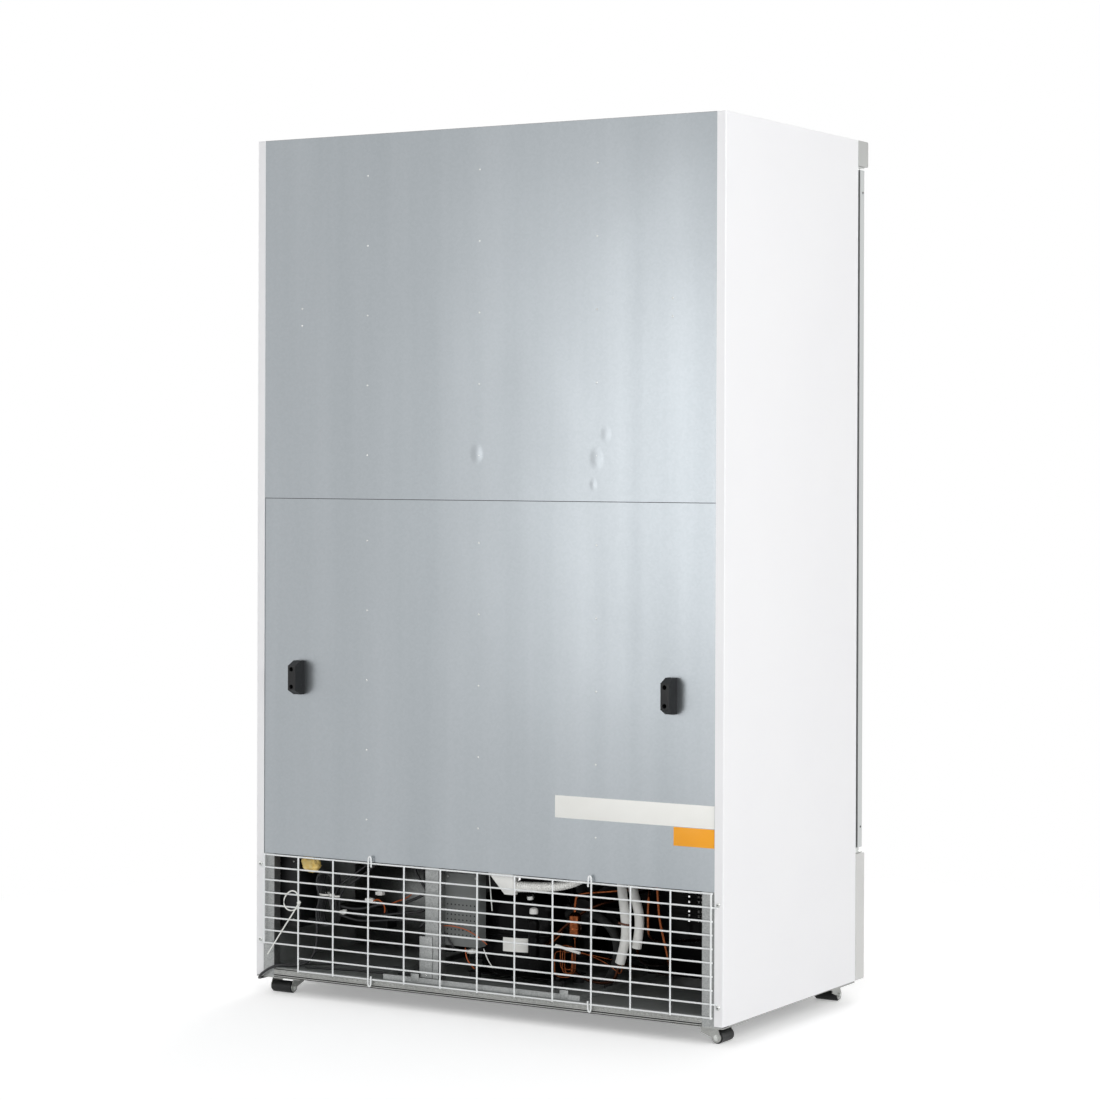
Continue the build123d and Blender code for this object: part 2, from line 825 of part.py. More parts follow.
def wire_guard():
    """Welded grid with hooked uprights and a notch for the mains lead, each wire lying on the others."""
    y_rows = y_back + wire / 2
    y_columns = y_rows + wire
    half = guard_columns * guard_column_pitch / 2
    z_first = z_base + guard_first_row
    z_last = z_first + (guard_rows - 1) * guard_row_pitch
    z_notch = z_first + notch_rows * guard_row_pitch
    x_notch = half - notch_columns * guard_column_pitch
    end = wire / 2
    wires = []
    for row in range(guard_rows):
        z = z_first + row * guard_row_pitch
        x_high = x_notch if row < notch_rows else half
        left_tail = guard_tail if row in (1, guard_rows - 2) else end
        right_tail = guard_tail if row in (notch_rows, guard_rows - 2) else end
        wires.append(wire_on(Line((-half - left_tail, y_rows, z), (x_high + right_tail, y_rows, z))))
    for column in range(guard_columns + 1):
        x = -half + column * guard_column_pitch
        z_low = z_notch if x > x_notch + end else z_first
        hooked = column in (hook_column, guard_columns - hook_column)
        if hooked:
            wires.append(hooked_wire(x, y_columns, z_low, z_last))
        else:
            wires.append(wire_on(Line((x, y_columns, z_low - end), (x, y_columns, z_last + end))))
    return wires


def hooked_wire(x, y, z_low, z_high):
    """An upright of the guard, bent over towards the middle into a hook at both ends."""
    turn = hook_width / 2
    x_leg = x - hook_width if x > 0 else x + hook_width
    x_crown = (x + x_leg) / 2
    z_bend_low = z_low - hook_reach + turn
    z_bend_high = z_high + hook_reach - turn
    path = Wire(
        [
            Line((x_leg, y, z_bend_low + hook_leg), (x_leg, y, z_bend_low)),
            ThreePointArc((x_leg, y, z_bend_low), (x_crown, y, z_bend_low - turn), (x, y, z_bend_low)),
            Line((x, y, z_bend_low), (x, y, z_bend_high)),
            ThreePointArc((x, y, z_bend_high), (x_crown, y, z_bend_high + turn), (x_leg, y, z_bend_high)),
            Line((x_leg, y, z_bend_high), (x_leg, y, z_bend_high - hook_leg)),
        ]
    )
    return wire_on(path)


def screw_head(x, z):
    """Domed screw head on the rear flange."""
    head = extrude(RegularPolygon(screw_head_radius, screw_sides), amount=screw_head_height)
    head = chamfer(head.faces().sort_by(Axis.Z)[-1].edges(), screw_head_height / 2)
    return Pos(x, y_back, z) * Rot(X=-90) * head


def guard_screws():
    """Four screws that clamp the guard's long wire ends to the flanges."""
    offset = wire / 2 + screw_head_radius + screw_wire_gap
    z_first = z_base + guard_first_row
    z_upper = z_first + (guard_rows - 2) * guard_row_pitch + offset
    z_lower_right = z_first + notch_rows * guard_row_pitch + offset
    z_lower_left = z_first + guard_row_pitch - offset
    x = x_side - rear_flange + screw_from_fold
    return [
        screw_head(x, z_upper),
        screw_head(-x, z_upper),
        screw_head(x, z_lower_right),
        screw_head(-x, z_lower_left),
    ]


def wall_spacer():
    """Black moulding that keeps the cabinet off the wall."""
    z_middle = z_base + spacer_height
    y_seat = y_lower_sheet
    y_face = y_back + spacer_reach
    half_base = spacer_length / 2
    half_face = spacer_face / 2
    y_bend = y_seat + spacer_straight
    outline = Polyline(
        (y_seat, z_middle - half_base),
        (y_bend, z_middle - half_base),
        (y_face, z_middle - half_face),
        (y_face, z_middle + half_face),
        (y_bend, z_middle + half_base),
        (y_seat, z_middle + half_base),
        close=True,
    )
    profile = Plane.YZ * make_face(outline)
    solid = Pos(spacer_x - spacer_width / 2, 0, 0) * extrude(profile, amount=spacer_width)
    solid = chamfer(solid.faces().sort_by(Axis.Y)[-1].edges(), spacer_edge_radius)
    for way in (-1, 1):
        centre = (spacer_x, y_face, z_middle + way * spacer_hole_pitch / 2)
        solid = drilled(solid, centre, (0, -1, 0), spacer_hole_radius, spacer_hole_depth)
        solid = drilled(solid, centre, (0, -1, 0), spacer_pilot_radius, spacer_reach + 2 * sheet)
    return solid


def caster_centre(side, end):
    """Kingpin position for side and end of -1 or 1."""
    x = side * (x_side - caster_side_inset)
    y = y_back - caster_end_inset if end > 0 else y_front + caster_end_inset
    return x, y


def caster_plate_solid(x, y):
    """Mounting plate with its ball race and riveted kingpin."""
    half = caster_plate / 2
    plate = block(x - half, x + half, y - half, y + half, z_caster_plate, z_gusset)
    plate += rod((x, y, z_race), (x, y, z_caster_plate), caster_race_radius)
    z_head = z_yoke - caster_play - kingpin_head
    plate += rod((x, y, z_head), (x, y, z_race), kingpin_radius)
    plate += rod((x, y, z_head), (x, y, z_head + kingpin_head), kingpin_head_radius)
    return plate


def caster_yoke():
    """Pressed yoke with two cheeks and the riveted axle, trailing along +Y from the kingpin."""
    inner = roller_length / 2 + roller_side_play
    outer = inner + yoke_sheet
    y_front_edge = -caster_race_radius
    y_axle = caster_trail
    cheek_round = roller_radius - cheek_margin
    top = block(-outer, outer, y_front_edge, y_axle - roller_radius, z_yoke, z_yoke_top)
    z_cheek = z_yoke - cheek_nose
    cheek_outline = Polyline(
        (y_front_edge, z_yoke_top),
        (y_axle + cheek_top_reach, z_yoke_top),
        (y_axle + cheek_round, axle_height),
        (y_axle - cheek_round, axle_height),
        (y_front_edge, z_cheek),
        close=True,
    )
    cheek_face = make_face(cheek_outline) + Pos(y_axle, axle_height) * Circle(cheek_round)
    cheek = extrude(Plane.YZ * cheek_face, amount=yoke_sheet)
    yoke = top + Pos(inner, 0, 0) * cheek + Pos(-outer, 0, 0) * cheek
    yoke -= rod((0, 0, z_yoke - 1), (0, 0, z_yoke_top + 1), kingpin_radius + running_gap)
    end = outer + axle_head
    yoke += rod((-outer, y_axle, axle_height), (outer, y_axle, axle_height), axle_radius)
    yoke += rod((outer, y_axle, axle_height), (end, y_axle, axle_height), axle_head_radius)
    yoke += rod((-outer, y_axle, axle_height), (-end, y_axle, axle_height), axle_head_radius)
    return yoke


def caster_roller():
    """Black roller on the axle of a yoke that trails along +Y."""
    half = roller_length / 2
    roller = rod((-half, caster_trail, axle_height), (half, caster_trail, axle_height), roller_radius)
    roller = chamfer(roller.edges().filter_by(GeomType.CIRCLE), roller_edge_radius)
    bore = axle_radius + running_gap
    return roller - rod((-half - 1, caster_trail, axle_height), (half + 1, caster_trail, axle_height), bore)


def shelf_box(level):
    """Corner coordinates of the right-hand shelf on one level."""
    x_low = shelf_side_play
    x_high = x_room - upright_depth - shelf_side_play
    y_low = y_front + mullion_depth + shelf_front_gap
    z_low = z_room_low + shelf_first_height + level * shelf_pitch
    return x_low, x_high, y_low, y_low + shelf_depth, z_low, z_low + shelf_thickness


def shelf(level):
    """Coated wire shelf of the right-hand bay."""
    x_low, x_high, y_low, y_high, z_low, z_high = shelf_box(level)
    plate = block(x_low, x_high, y_low, y_high, z_low, z_high)
    clear = x_high - x_low - 2 * shelf_border
    count = int(clear // shelf_bar_pitch)
    slot = (clear - (count - 1) * shelf_bar) / count
    slots = []
    for index in range(count):
        x_slot = x_low + shelf_border + index * (slot + shelf_bar)
        slots.append(block(x_slot, x_slot + slot, y_low + shelf_border, y_high - shelf_border, z_low, z_high))
    return plate.cut(*slots)


def shelf_supports():
    """Uprights on the side walls, the back and the mullion, with a clip under each shelf corner."""
    z_low = z_room_low + upright_end_gap
    z_high = z_room_high - evaporator_height - upright_end_gap
    half = upright_width / 2
    half_clip = clip_width / 2
    x_low, x_high, y_low, y_high, _, _ = shelf_box(0)
    x_strip = x_room - upright_depth
    x_clip = x_high - clip_reach
    y_mullion = y_front + mullion_depth
    y_strip = y_room - upright_depth
    solids = []
    for y in (y_low + upright_setback, y_high - upright_setback):
        solids += both_sides(block(x_strip, x_room, y - half, y + half, z_low, z_high))
    solids.append(block(-half, half, y_mullion, y_mullion + upright_depth, z_low, z_high))
    solids.append(block(-half, half, y_strip, y_room, z_low, z_high))
    for level in range(shelf_levels):
        z = shelf_box(level)[4]
        for y in (y_low + upright_setback, y_high - upright_setback):
            clip = block(x_clip, x_strip, y - half_clip, y + half_clip, z - clip_height, z)
            toe = clip.edges().filter_by(Axis.Y).sort_by(Axis.Z)[:2].sort_by(Axis.X)[0]
            solids += both_sides(chamfer(toe, clip_height / 2))
        y_fore = y_mullion + upright_depth
        y_reach = y_low + clip_reach
        solids.append(block(-half, half, y_fore, y_reach, z - clip_height, z))
        solids.append(block(-half, half, y_high - clip_reach, y_strip, z - clip_height, z))
    return solids


def led_lamps():
    """Vertical lamp bars on the side walls behind the jambs."""
    y_low = y_front + lamp_setback
    z_middle = (z_room_low + z_opening) / 2
    half = lamp_length / 2
    bar = block(x_room - lamp_depth, x_room, y_low, y_low + lamp_width, z_middle - half, z_middle + half)
    inner_edges = bar.edges().filter_by(Axis.Z).sort_by(Axis.X)[:2]
    return both_sides(fillet(inner_edges, lamp_depth / 3))


def evaporator_cover():
    """Folded tray under the ceiling with two fan openings and a slotted front."""
    half = evaporator_width / 2
    wall = evaporator_sheet
    cover = block(-half, half, y_evaporator, y_room, z_evaporator, z_room_high)
    cover -= block(-half + wall, half - wall, y_evaporator + wall, y_room, z_evaporator + wall, z_room_high)
    y_fan = y_room - evaporator_depth / 2
    for side in (-1, 1):
        x = side * evaporator_fan_spacing / 2
        opening = evaporator_fan_radius + fan_tip_gap
        cover -= rod((x, y_fan, z_evaporator - 1), (x, y_fan, z_evaporator + wall + 1), opening)
    pitch = evaporator_height / (evaporator_slots + 1)
    for index in range(evaporator_slots):
        z = z_evaporator + (index + 1) * pitch - evaporator_slot_height / 2
        slot = block(
            half / 8, half - half / 8, y_evaporator, y_evaporator + wall, z, z + evaporator_slot_height
        )
        for opening in both_sides(slot):
            cover -= opening
    return cover


def finned_block(width, depth, height, pitch, thickness, proud):
    """A coil block: a solid core with upright fins standing out on both faces, base centred on the origin."""
    count = int((width - thickness) // pitch) + 1
    core = block(-width / 2, width / 2, -depth / 2 + proud, depth / 2 - proud, 0, height)
    fins = []
    for index in range(count):
        x = (index - (count - 1) / 2) * pitch
        fins.append(block(x - thickness / 2, x + thickness / 2, -depth / 2, depth / 2, 0, height))
    return core.fuse(*fins)


def evaporator_coil():
    """Finned coil hung from the ceiling above the fans."""
    coil = finned_block(
        coil_width, coil_depth, coil_height, coil_fin_pitch, coil_fin_thickness, coil_fin_proud
    )
    return Pos(0, y_room - evaporator_depth / 2, z_coil) * coil


def fan_rotor(radius, shaft):
    """Hub, cambered blades and shaft; the hub's base is at the origin and the shaft points along +Z."""
    hub = Cylinder(fan_hub_radius, fan_hub_height, align=(Align.CENTER, Align.CENTER, Align.MIN))
    hub = chamfer(hub.faces().sort_by(Axis.Z)[0].edges(), fan_hub_height / 4)
    half = fan_blade_chord / 2
    camber = fan_blade_chord / 8
    outer = ThreePointArc((-half, 0), (0, camber), (half, 0))
    lower = -fan_blade_thickness
    inner = ThreePointArc((-half, lower), (0, camber + lower), (half, lower))
    left = Line((-half, lower), (-half, 0))
    right = Line((half, lower), (half, 0))
    section = make_face(Wire([outer, right, inner, left]))
    length = radius - fan_hub_radius / 2
    blade = Pos(fan_hub_radius / 2, 0, 0) * extrude(Plane.YZ * section, amount=length)
    blade = Pos(0, 0, fan_hub_height / 2) * Rot(X=fan_blade_pitch) * blade
    blades = [Rot(Z=360 / fan_blades * index) * blade for index in range(fan_blades)]
    rotor = hub.fuse(*blades) & Cylinder(radius, 6 * fan_hub_height)
    around_motor = Cylinder(
        fan_motor_radius + blade_motor_gap, 3 * fan_hub_height, align=(Align.CENTER, Align.CENTER, Align.MIN)
    )
    rotor -= Pos(0, 0, fan_hub_height) * around_motor
    reach = fan_hub_height + shaft
    return rotor + Cylinder(fan_shaft_radius, reach, align=(Align.CENTER, Align.CENTER, Align.MIN))


def fan_motor(length):
    """Motor can with the shaft's bore, standing on the origin."""
    can = Cylinder(fan_motor_radius, length, align=(Align.CENTER, Align.CENTER, Align.MIN))
    can = chamfer(can.faces().sort_by(Axis.Z)[-1].edges(), fan_motor_radius / 8)
    depth = length - motor_bore_stop
    bore = Cylinder(fan_shaft_radius + running_gap, depth, align=(Align.CENTER, Align.CENTER, Align.MIN))
    return can - bore


def evaporator_fan(side):
    """Fan rotor in its opening in the evaporator cover."""
    centre = (side * evaporator_fan_spacing / 2, y_room - evaporator_depth / 2, z_evaporator_hub)
    return Pos(*centre) * fan_rotor(evaporator_fan_radius, fan_shaft_reach)


def condenser_fan():
    """Fan rotor behind the condenser, with its shaft towards the back."""
    return Pos(0, y_rotor, z_condenser_axis) * Rot(X=-90) * fan_rotor(condenser_fan_radius, fan_shaft_reach)


def fan_motors():
    """Two motors under the evaporator coil and one behind the condenser."""
    z_motor = z_evaporator_hub + fan_hub_height + fan_end_gap
    y_fan = y_room - evaporator_depth / 2
    hung = Pos(evaporator_fan_spacing / 2, y_fan, z_motor) * fan_motor(z_coil - z_motor)
    rear = Pos(0, y_motor, z_condenser_axis) * Rot(X=-90) * fan_motor(fan_motor_length)
    return both_sides(hung) + [rear]


def compressor_shell():
    """Pressed oval pressure shell, its bowl and its dome rounded in even steps."""
    outlines = []
    for step in range(dome_steps + 1):
        lean = radians(90 * step / dome_steps)
        bowl_height = compressor_bowl_radius * (1 - cos(lean))
        outlines.append((bowl_height, compressor_bowl_radius * (1 - sin(lean))))
    for step in range(dome_steps + 1):
        lean = radians(90 * step / dome_steps)
        dome_height = compressor_height - compressor_dome_radius * (1 - sin(lean))
        outlines.append((dome_height, compressor_dome_radius * (1 - cos(lean))))
    ovals = [
        Pos(0, 0, height) * Ellipse(compressor_length / 2 - inset, compressor_width / 2 - inset)
        for height, inset in outlines
    ]
    return Pos(compressor_x, y_compressor, z_shell) * loft(ovals, ruled=True)


def compressor():
    """Welded oval compressor on its foot plate, and the cover over its terminals."""
    x = compressor_x
    y = y_compressor
    shell = compressor_shell()
    proud = compressor_seam_proud
    band = Ellipse(compressor_length / 2 + proud, compressor_width / 2 + proud)
    seam = Pos(x, y, z_shell + compressor_seam_height) * extrude(band, amount=compressor_seam)
    half_length = compressor_foot_length / 2
    half_width = compressor_foot_width / 2
    foot = block(x - half_length, x + half_length, y - half_width, y + half_width, z_foot, z_shell)
    foot = fillet(foot.edges().filter_by(Axis.Z), mount_radius)
    body = shell + seam + foot
    for mount_x, mount_y in mount_places():
        start = (mount_x, mount_y, z_foot)
        body = drilled(body, start, (0, 0, 1), mount_neck_radius + running_gap, 2 * compressor_foot)
    half = terminal_cover_size / 2
    x_cover = x + compressor_length / 2 + terminal_cover_depth
    z_cover = z_shell + compressor_bowl_radius
    cover = block(x, x_cover, y - half, y + half, z_cover, z_cover + terminal_cover_size)
    cover = fillet(cover.faces().sort_by(Axis.X)[-1].edges(), moulding_edge_radius)
    return [body, cover - shell]


def mount_places():
    """Positions of the four compressor mounts."""
    dx = compressor_foot_length / 2 - mount_radius
    dy = compressor_foot_width / 2 - mount_radius
    return [(compressor_x + a * dx, y_compressor + b * dy) for a in (-1, 1) for b in (-1, 1)]


def compressor_mounts():
    """Rubber grommets between the tray and the compressor's foot plate."""
    grommets = []
    for x, y in mount_places():
        grommet = rod((x, y, z_tray), (x, y, z_tray + mount_height), mount_radius)
        top = z_tray + mount_height + compressor_foot
        grommet += rod((x, y, z_tray), (x, y, top + compressor_foot), mount_neck_radius)
        grommets.append(grommet)
    return grommets


def condenser_coil():
    """Black finned condenser behind the kick plate, with return bends at its ends."""
    coil = finned_block(
        condenser_width,
        condenser_thickness,
        condenser_height,
        condenser_fin_pitch,
        condenser_fin_thickness,
        condenser_fin_proud,
    )
    coil = Pos(0, y_condenser + condenser_thickness / 2, z_tray) * coil
    x = condenser_width / 2
    y = y_condenser + condenser_thickness / 2
    pitch = condenser_height / (2 * return_bends)
    for index in range(return_bends):
        z = z_tray + pitch * (2 * index + 0.5)
        reach = (x + pitch, y, z + pitch / 2)
        stub = tube_diameter / 2
        path = Wire(
            [
                Line((x - stub, y, z), (x + stub, y, z)),
                ThreePointArc((x + stub, y, z), reach, (x + stub, y, z + pitch)),
                Line((x + stub, y, z + pitch), (x - stub, y, z + pitch)),
            ]
        )
        coil += sweep(section_on(path, tube_diameter / 2, tube_sides), path=path)
    return coil


def fan_shroud():
    """Sheet duct from the condenser to the fan, with the motor's bracket."""
    half = condenser_width / 2
    z_high = z_tray + condenser_height
    y_low = y_condenser + condenser_thickness
    wall = shroud_sheet
    duct = block(-half, half, y_low, y_shroud, z_tray, z_high)
    duct -= block(-half + wall, half - wall, y_low, y_shroud - wall, z_tray + wall, z_high - wall)
    opening = condenser_fan_radius + fan_tip_gap
    y_ring = y_shroud + shroud_ring_depth
    duct += rod((0, y_shroud, z_condenser_axis), (0, y_ring, z_condenser_axis), opening + wall)
    duct -= rod((0, y_low, z_condenser_axis), (0, y_ring, z_condenser_axis), opening)
    y_arm = y_motor + motor_arm_setback
    reach = opening + wall + motor_arm
    for z in (z_condenser_axis - motor_arm, z_condenser_axis + motor_arm):
        z_low = z - motor_arm / 2
        arm = block(-reach, reach, y_arm, y_arm + wall, z_low, z_low + motor_arm)
        leg = block(reach - wall, reach, y_shroud, y_arm + wall, z_low, z_low + motor_arm)
        duct = duct.fuse(arm, *both_sides(leg))
    socket = fan_motor_radius + running_gap
    duct -= rod((0, y_motor - 1, z_condenser_axis), (0, y_motor + fan_motor_length, z_condenser_axis), socket)
    return duct


def ended_on(solid, other):
    """The larger remainder of the solid where it meets another one."""
    return (solid - other).solids().sort_by(SortBy.VOLUME)[-1]


def filter_drier():
    """Copper filter drier, spun down to its tubes at both ends."""
    tip = liquid_tube_diameter / 2 + post_sheet
    z_low = z_drier - drier_length
    outlines = [
        (z_low - drier_cone, tip),
        (z_low, drier_radius),
        (z_drier, drier_radius),
        (z_drier + drier_cone, tip),
    ]
    sections = [Pos(drier_x, y_drier, z) * RegularPolygon(radius, drier_sides) for z, radius in outlines]
    return loft(sections, ruled=True)


def discharge_tube():
    """Copper tube from the compressor up behind the drier and along the side to the condenser."""
    z_port = z_tray + condenser_port_high
    points = [
        (-100, y_back - 104, 150),
        (-150, y_back - 109, 198),
        (-193, y_back - 121, 236),
        (-235, y_back - 127, 262),
        (-278, y_back - 175, 274),
        (-282, 60, z_port),
        (x_port - 42, y_port_line + 40, z_port + 1),
        (x_port - 38, y_port_line, z_port),
        (x_port, y_port_line, z_port),
    ]
    return ended_on(tube(points, tube_diameter, tube_bend), compressor_shell())


def liquid_tube():
    """Copper tube from the condenser, up beside the insulated tubes and under the ceiling to the drier."""
    z_port = z_tray + condenser_port_middle
    z_run = z_deck - 16
    points = [
        (x_port, y_port_line, z_port),
        (x_port - 60, y_port_line, z_port),
        (liquid_tube_x, -40, z_port + 10),
        (liquid_tube_x, 210, z_port + 40),
        (liquid_tube_x + 2, y_back - 76, z_port + 60),
        (liquid_tube_x, y_back - 76, z_deck - 34),
        (liquid_tube_x + 6, y_back - 98, z_run + 1),
        (liquid_tube_x + 34, y_back - 111, z_run),
        (drier_x - 30, y_back - 108, z_run - 3),
        (drier_x, y_drier, z_run - 24),
        (drier_x, y_drier, z_drier + drier_cone),
    ]
    return tube(points, liquid_tube_diameter, liquid_tube_bend)


def return_tube():
    """Bare copper tube from the ceiling round to the compressor's front."""
    points = [
        (liquid_tube_x - 22, y_back - 76, z_deck),
        (liquid_tube_x - 26, y_back - 76, 262),
        (liquid_tube_x - 48, y_back - 78, 178),
        (liquid_tube_x - 40, y_back - 110, 120),
        (-330, 110, 100),
        (-200, 60, 106),
        (-110, 90, 124),
        (-70, 150, 132),
    ]
    return ended_on(tube(points, tube_diameter, tube_bend), compressor_shell())


def suction_tail():
    """Copper end of the first insulated tube, led to the compressor."""
    route = sleeve_routes()[0]
    x, y, z = route[-1]
    points = [
        route[-1],
        beyond(route, 38),
        (x + 46, y - 18, z - 54),
        (-215, y_back - 112, 92),
        (-165, y_back - 140, 112),
        (-100, y_back - 157, 124),
    ]
    return ended_on(tube(points, tube_diameter, tube_bend), compressor_shell())


def drain_heater_tail():
    """Copper end of the second insulated tube, led forward to the condenser."""
    route = sleeve_routes()[1]
    z_port = z_tray + condenser_port_middle / 2
    points = [
        route[-1],
        beyond(route, 36),
        (-330, 60, z_port),
        (x_port - 46, y_port_line + 50, z_port + 1),
        (x_port - 42, y_port_line, z_port),
        (x_port, y_port_line, z_port),
    ]
    return tube(points, tube_diameter, tube_bend)


def process_tube():
    """Pinched-off filling tube of the compressor."""
    points = [(-100, y_back - 96, 160), (-138, y_back - 92, 172), (-172, y_back - 86, 200)]
    stub = tube(points, liquid_tube_diameter, tube_bend)
    return ended_on(stub, compressor_shell())


def capillary_points():
    """Corners of the capillary tube's hank and of its way to the first insulated tube."""
    x_left = drier_x
    x_right = drier_x + 2 * capillary_half_width
    z_top = z_drier - drier_length - drier_cone - capillary_drop
    z_low = z_top - 2 * capillary_half_height
    points = [(x_left, y_drier, z_drier - drier_length - drier_cone)]
    for turn in range(capillary_turns):
        y = y_drier + turn * capillary_pitch
        y_next = y + capillary_pitch
        grow = capillary_swell * sin(capillary_swell_step * turn)
        points.append((x_left - grow, y, z_low - grow))
        points.append((x_right + grow, y_next, z_low + grow))
        points.append((x_right + grow, y_next, z_top - grow))
        points.append((x_left - grow, y_next, z_top + grow))
    route = sleeve_routes()[0]
    end = Vector(*route[-1])
    below = Vector(*beyond(route, 22))
    side = Vector(-1, 0, -0.2).normalized() * capillary_offset
    return points[:-1] + [
        (x_left - 24, y_drier + capillary_turns * capillary_pitch, z_top - 2),
        (end.X + 44, end.Y + 3, end.Z + 4),
        (below - side * 0.9 - (below - end) * 0.05).to_tuple(),
        (below + side).to_tuple(),
        (end + side).to_tuple(),
    ]


def capillary():
    """Thin copper capillary, wound into a hank under the drier."""
    return wound_tube("capillary", capillary_points(), capillary_diameter, capillary_bend)


def sleeve_routes():
    """Routes of the two white insulated tubes, from the ceiling down."""
    return [
        [
            (-318, y_back - 73, z_deck),
            (-330, y_back - 73, z_deck - 44),
            (-345, y_back - 73, 222),
            (-329, y_back - 73, 146),
        ],
        [
            (-358, y_back - 88, z_deck),
            (-364, y_back - 88, z_deck - 32),
            (-377, y_back - 88, 250),
            (-366, y_back - 88, 181),
        ],
    ]


def beyond(route, distance):
    """The point that far past a route's end, in line with its last run."""
    end = Vector(*route[-1])
    run = (end - Vector(*route[-2])).normalized()
    return (end + run * distance).to_tuple()


def black_hose():
    """Black insulated tube from the compressor round and down to the tray."""
    points = [
        (-110, y_back - 162, 225),
        (-178, y_back - 150, 238),
        (-232, y_back - 138, 238),
        (-280, y_back - 132, 208),
        (-293, y_back - 132, 160),
        (-272, y_back - 144, 112),
        (-246, y_back - 164, 96),
        (-246, y_back - 164, z_tray),
    ]
    return ended_on(tube(points, hose_diameter, hose_bend, sleeve_sides), compressor_shell())


def insulated_tubes():
    """Two white insulated tubes and the black one."""
    whites = [tube(route, sleeve_diameter, sleeve_bend, sleeve_sides) for route in sleeve_routes()]
    ceiling = block(-x_skin, x_skin, y_front, y_back, z_deck, z_top)
    return [white - ceiling for white in whites] + [black_hose()]


def copper_tubes():
    """All bare copper tubes of the compartment."""
    ceiling = block(-x_skin, x_skin, y_front, y_back, z_deck, z_top)
    bare = [discharge_tube(), liquid_tube(), return_tube() - ceiling]
    return bare + [suction_tail(), drain_heater_tail(), process_tube(), capillary()]


def ribbed_hose():
    """Ribbed drain hose along +X from the origin, with its bore."""
    ring_places = (
        (0, ribbed_root),
        (rib_root_share, ribbed_root),
        (rib_root_share + rib_rise_share, ribbed_crest),
        (rib_root_share + rib_rise_share + rib_crest_share, ribbed_crest),
    )
    rings = [
        ((rib + share) * rib_pitch, radius) for rib in range(rib_count) for share, radius in ring_places
    ]
    length = rib_count * rib_pitch
    rings += [(length, ribbed_root), (length + ribbed_end, ribbed_root)]
    sections = [
        Plane(origin=(at, 0, 0), z_dir=(1, 0, 0)) * RegularPolygon(radius, rib_sides) for at, radius in rings
    ]
    bore = bar((-1, 0, 0), (length + ribbed_end + 1, 0, 0), ribbed_bore, rib_sides)
    return loft(sections, ruled=True) - bore


def drain():
    """Drain outlet under the ceiling, ribbed hose and the cup that it runs into."""
    y = y_back - cup_from_back
    x_low = cup_x - cup_width / 2
    x_foot = x_low + cup_foot_width / 2
    z_foot = z_deck - cup_height
    outer = cup_form(x_low, x_foot, y, z_foot, 0)
    cup = outer - cup_form(x_low, x_foot, y, z_foot, cup_wall)
    length = rib_count * rib_pitch + ribbed_end
    z_start = z_foot + cup_foot_depth
    z_end = z_deck - drain_outlet_height / 2 + cup_wall
    span = x_low - drain_outlet_x
    tilt = degrees(atan2(z_end - z_start, span))
    place = Pos(x_low, y, z_start) * Rot(Z=180) * Rot(Y=-tilt)
    slack = (span / cos(radians(tilt)) - drain_outlet_radius - length) / 2
    hose = place * Pos(slack, 0, 0) * ribbed_hose()
    spigot = bar((-cup_wall, 0, 0), (slack + rib_pitch, 0, 0), ribbed_bore - running_gap, rib_sides)
    cup += (place * spigot) - cup_form(x_low, x_foot, y, z_foot, cup_wall)
    z_outlet = z_deck - drain_outlet_height
    outlet = bar((drain_outlet_x, y, z_outlet), (drain_outlet_x, y, z_deck), drain_outlet_radius, rib_sides)
    far = span / cos(radians(tilt))
    inside_hose = slack + length - rib_pitch
    outlet += place * bar((inside_hose, 0, 0), (far, 0, 0), ribbed_bore - running_gap, rib_sides)
    return [cup, hose, outlet]


def cup_form(x_low, x_foot, y, z_foot, inset):
    """Tapered block of the drain cup, drawn in by inset."""
    top = Rectangle(cup_width - 2 * inset, cup_depth - 2 * inset)
    foot = Rectangle(cup_foot_width - 2 * inset, cup_foot_depth - 2 * inset)
    sections = [Pos(x_foot, y, z_foot + inset) * foot, Pos(x_low + cup_width / 2, y, z_deck) * top]
    return loft(sections, ruled=True)


def electrical_box():
    """Light grey terminal box screwed to the centre post."""
    x_high = centre_post_x - centre_post_width / 2 + terminal_box_lap
    y_high = y_back - sheet - tray_rear_gap - centre_post_gap - centre_post_depth
    z_high = z_deck - terminal_box_drop
    z_low = z_high - terminal_box_height
    box = block(x_high - terminal_box_width, x_high, y_high - terminal_box_depth, y_high, z_low, z_high)
    box = fillet(box.edges().filter_by(Axis.Z), box_edge_radius)
    return box


def control_boxes():
    """Black control box on the right wall with the lead's gland, and the driver box in front of it."""
    x_lid = x_control + control_box_lid
    y_low = y_control - control_box_depth
    z_high = z_control + control_box_height
    body = block(x_lid, x_wall, y_low, y_control, z_control, z_high)
    lid = block(x_control, x_lid, y_low, y_control, z_control, z_high)
    lid = fillet(lid.faces().sort_by(Axis.X)[0].edges(), box_edge_radius)
    z_lead = z_control + lead_exit_above_box_foot
    relief = cone_piece(gland_radius, gland_tip_radius, gland_length)
    gland = Pos(x_control, y_hank - hank_pitch, z_lead) * Rot(Y=-90) * relief
    y_driver = y_back - driver_box_from_back
    z_driver = z_floor + driver_box_above_floor
    driver = block(
        x_wall - driver_box_width, x_wall, y_driver - driver_box_depth, y_driver,
        z_driver, z_driver + driver_box_height,
    )
    driver = fillet(driver.edges().filter_by(Axis.Z).sort_by(Axis.X)[:2], box_edge_radius)
    return [body, lid, gland, driver]


def cone_piece(radius, tip_radius, length):
    """A tapered round piece standing on the origin."""
    return Cone(radius, tip_radius, length, align=(Align.CENTER, Align.CENTER, Align.MIN))


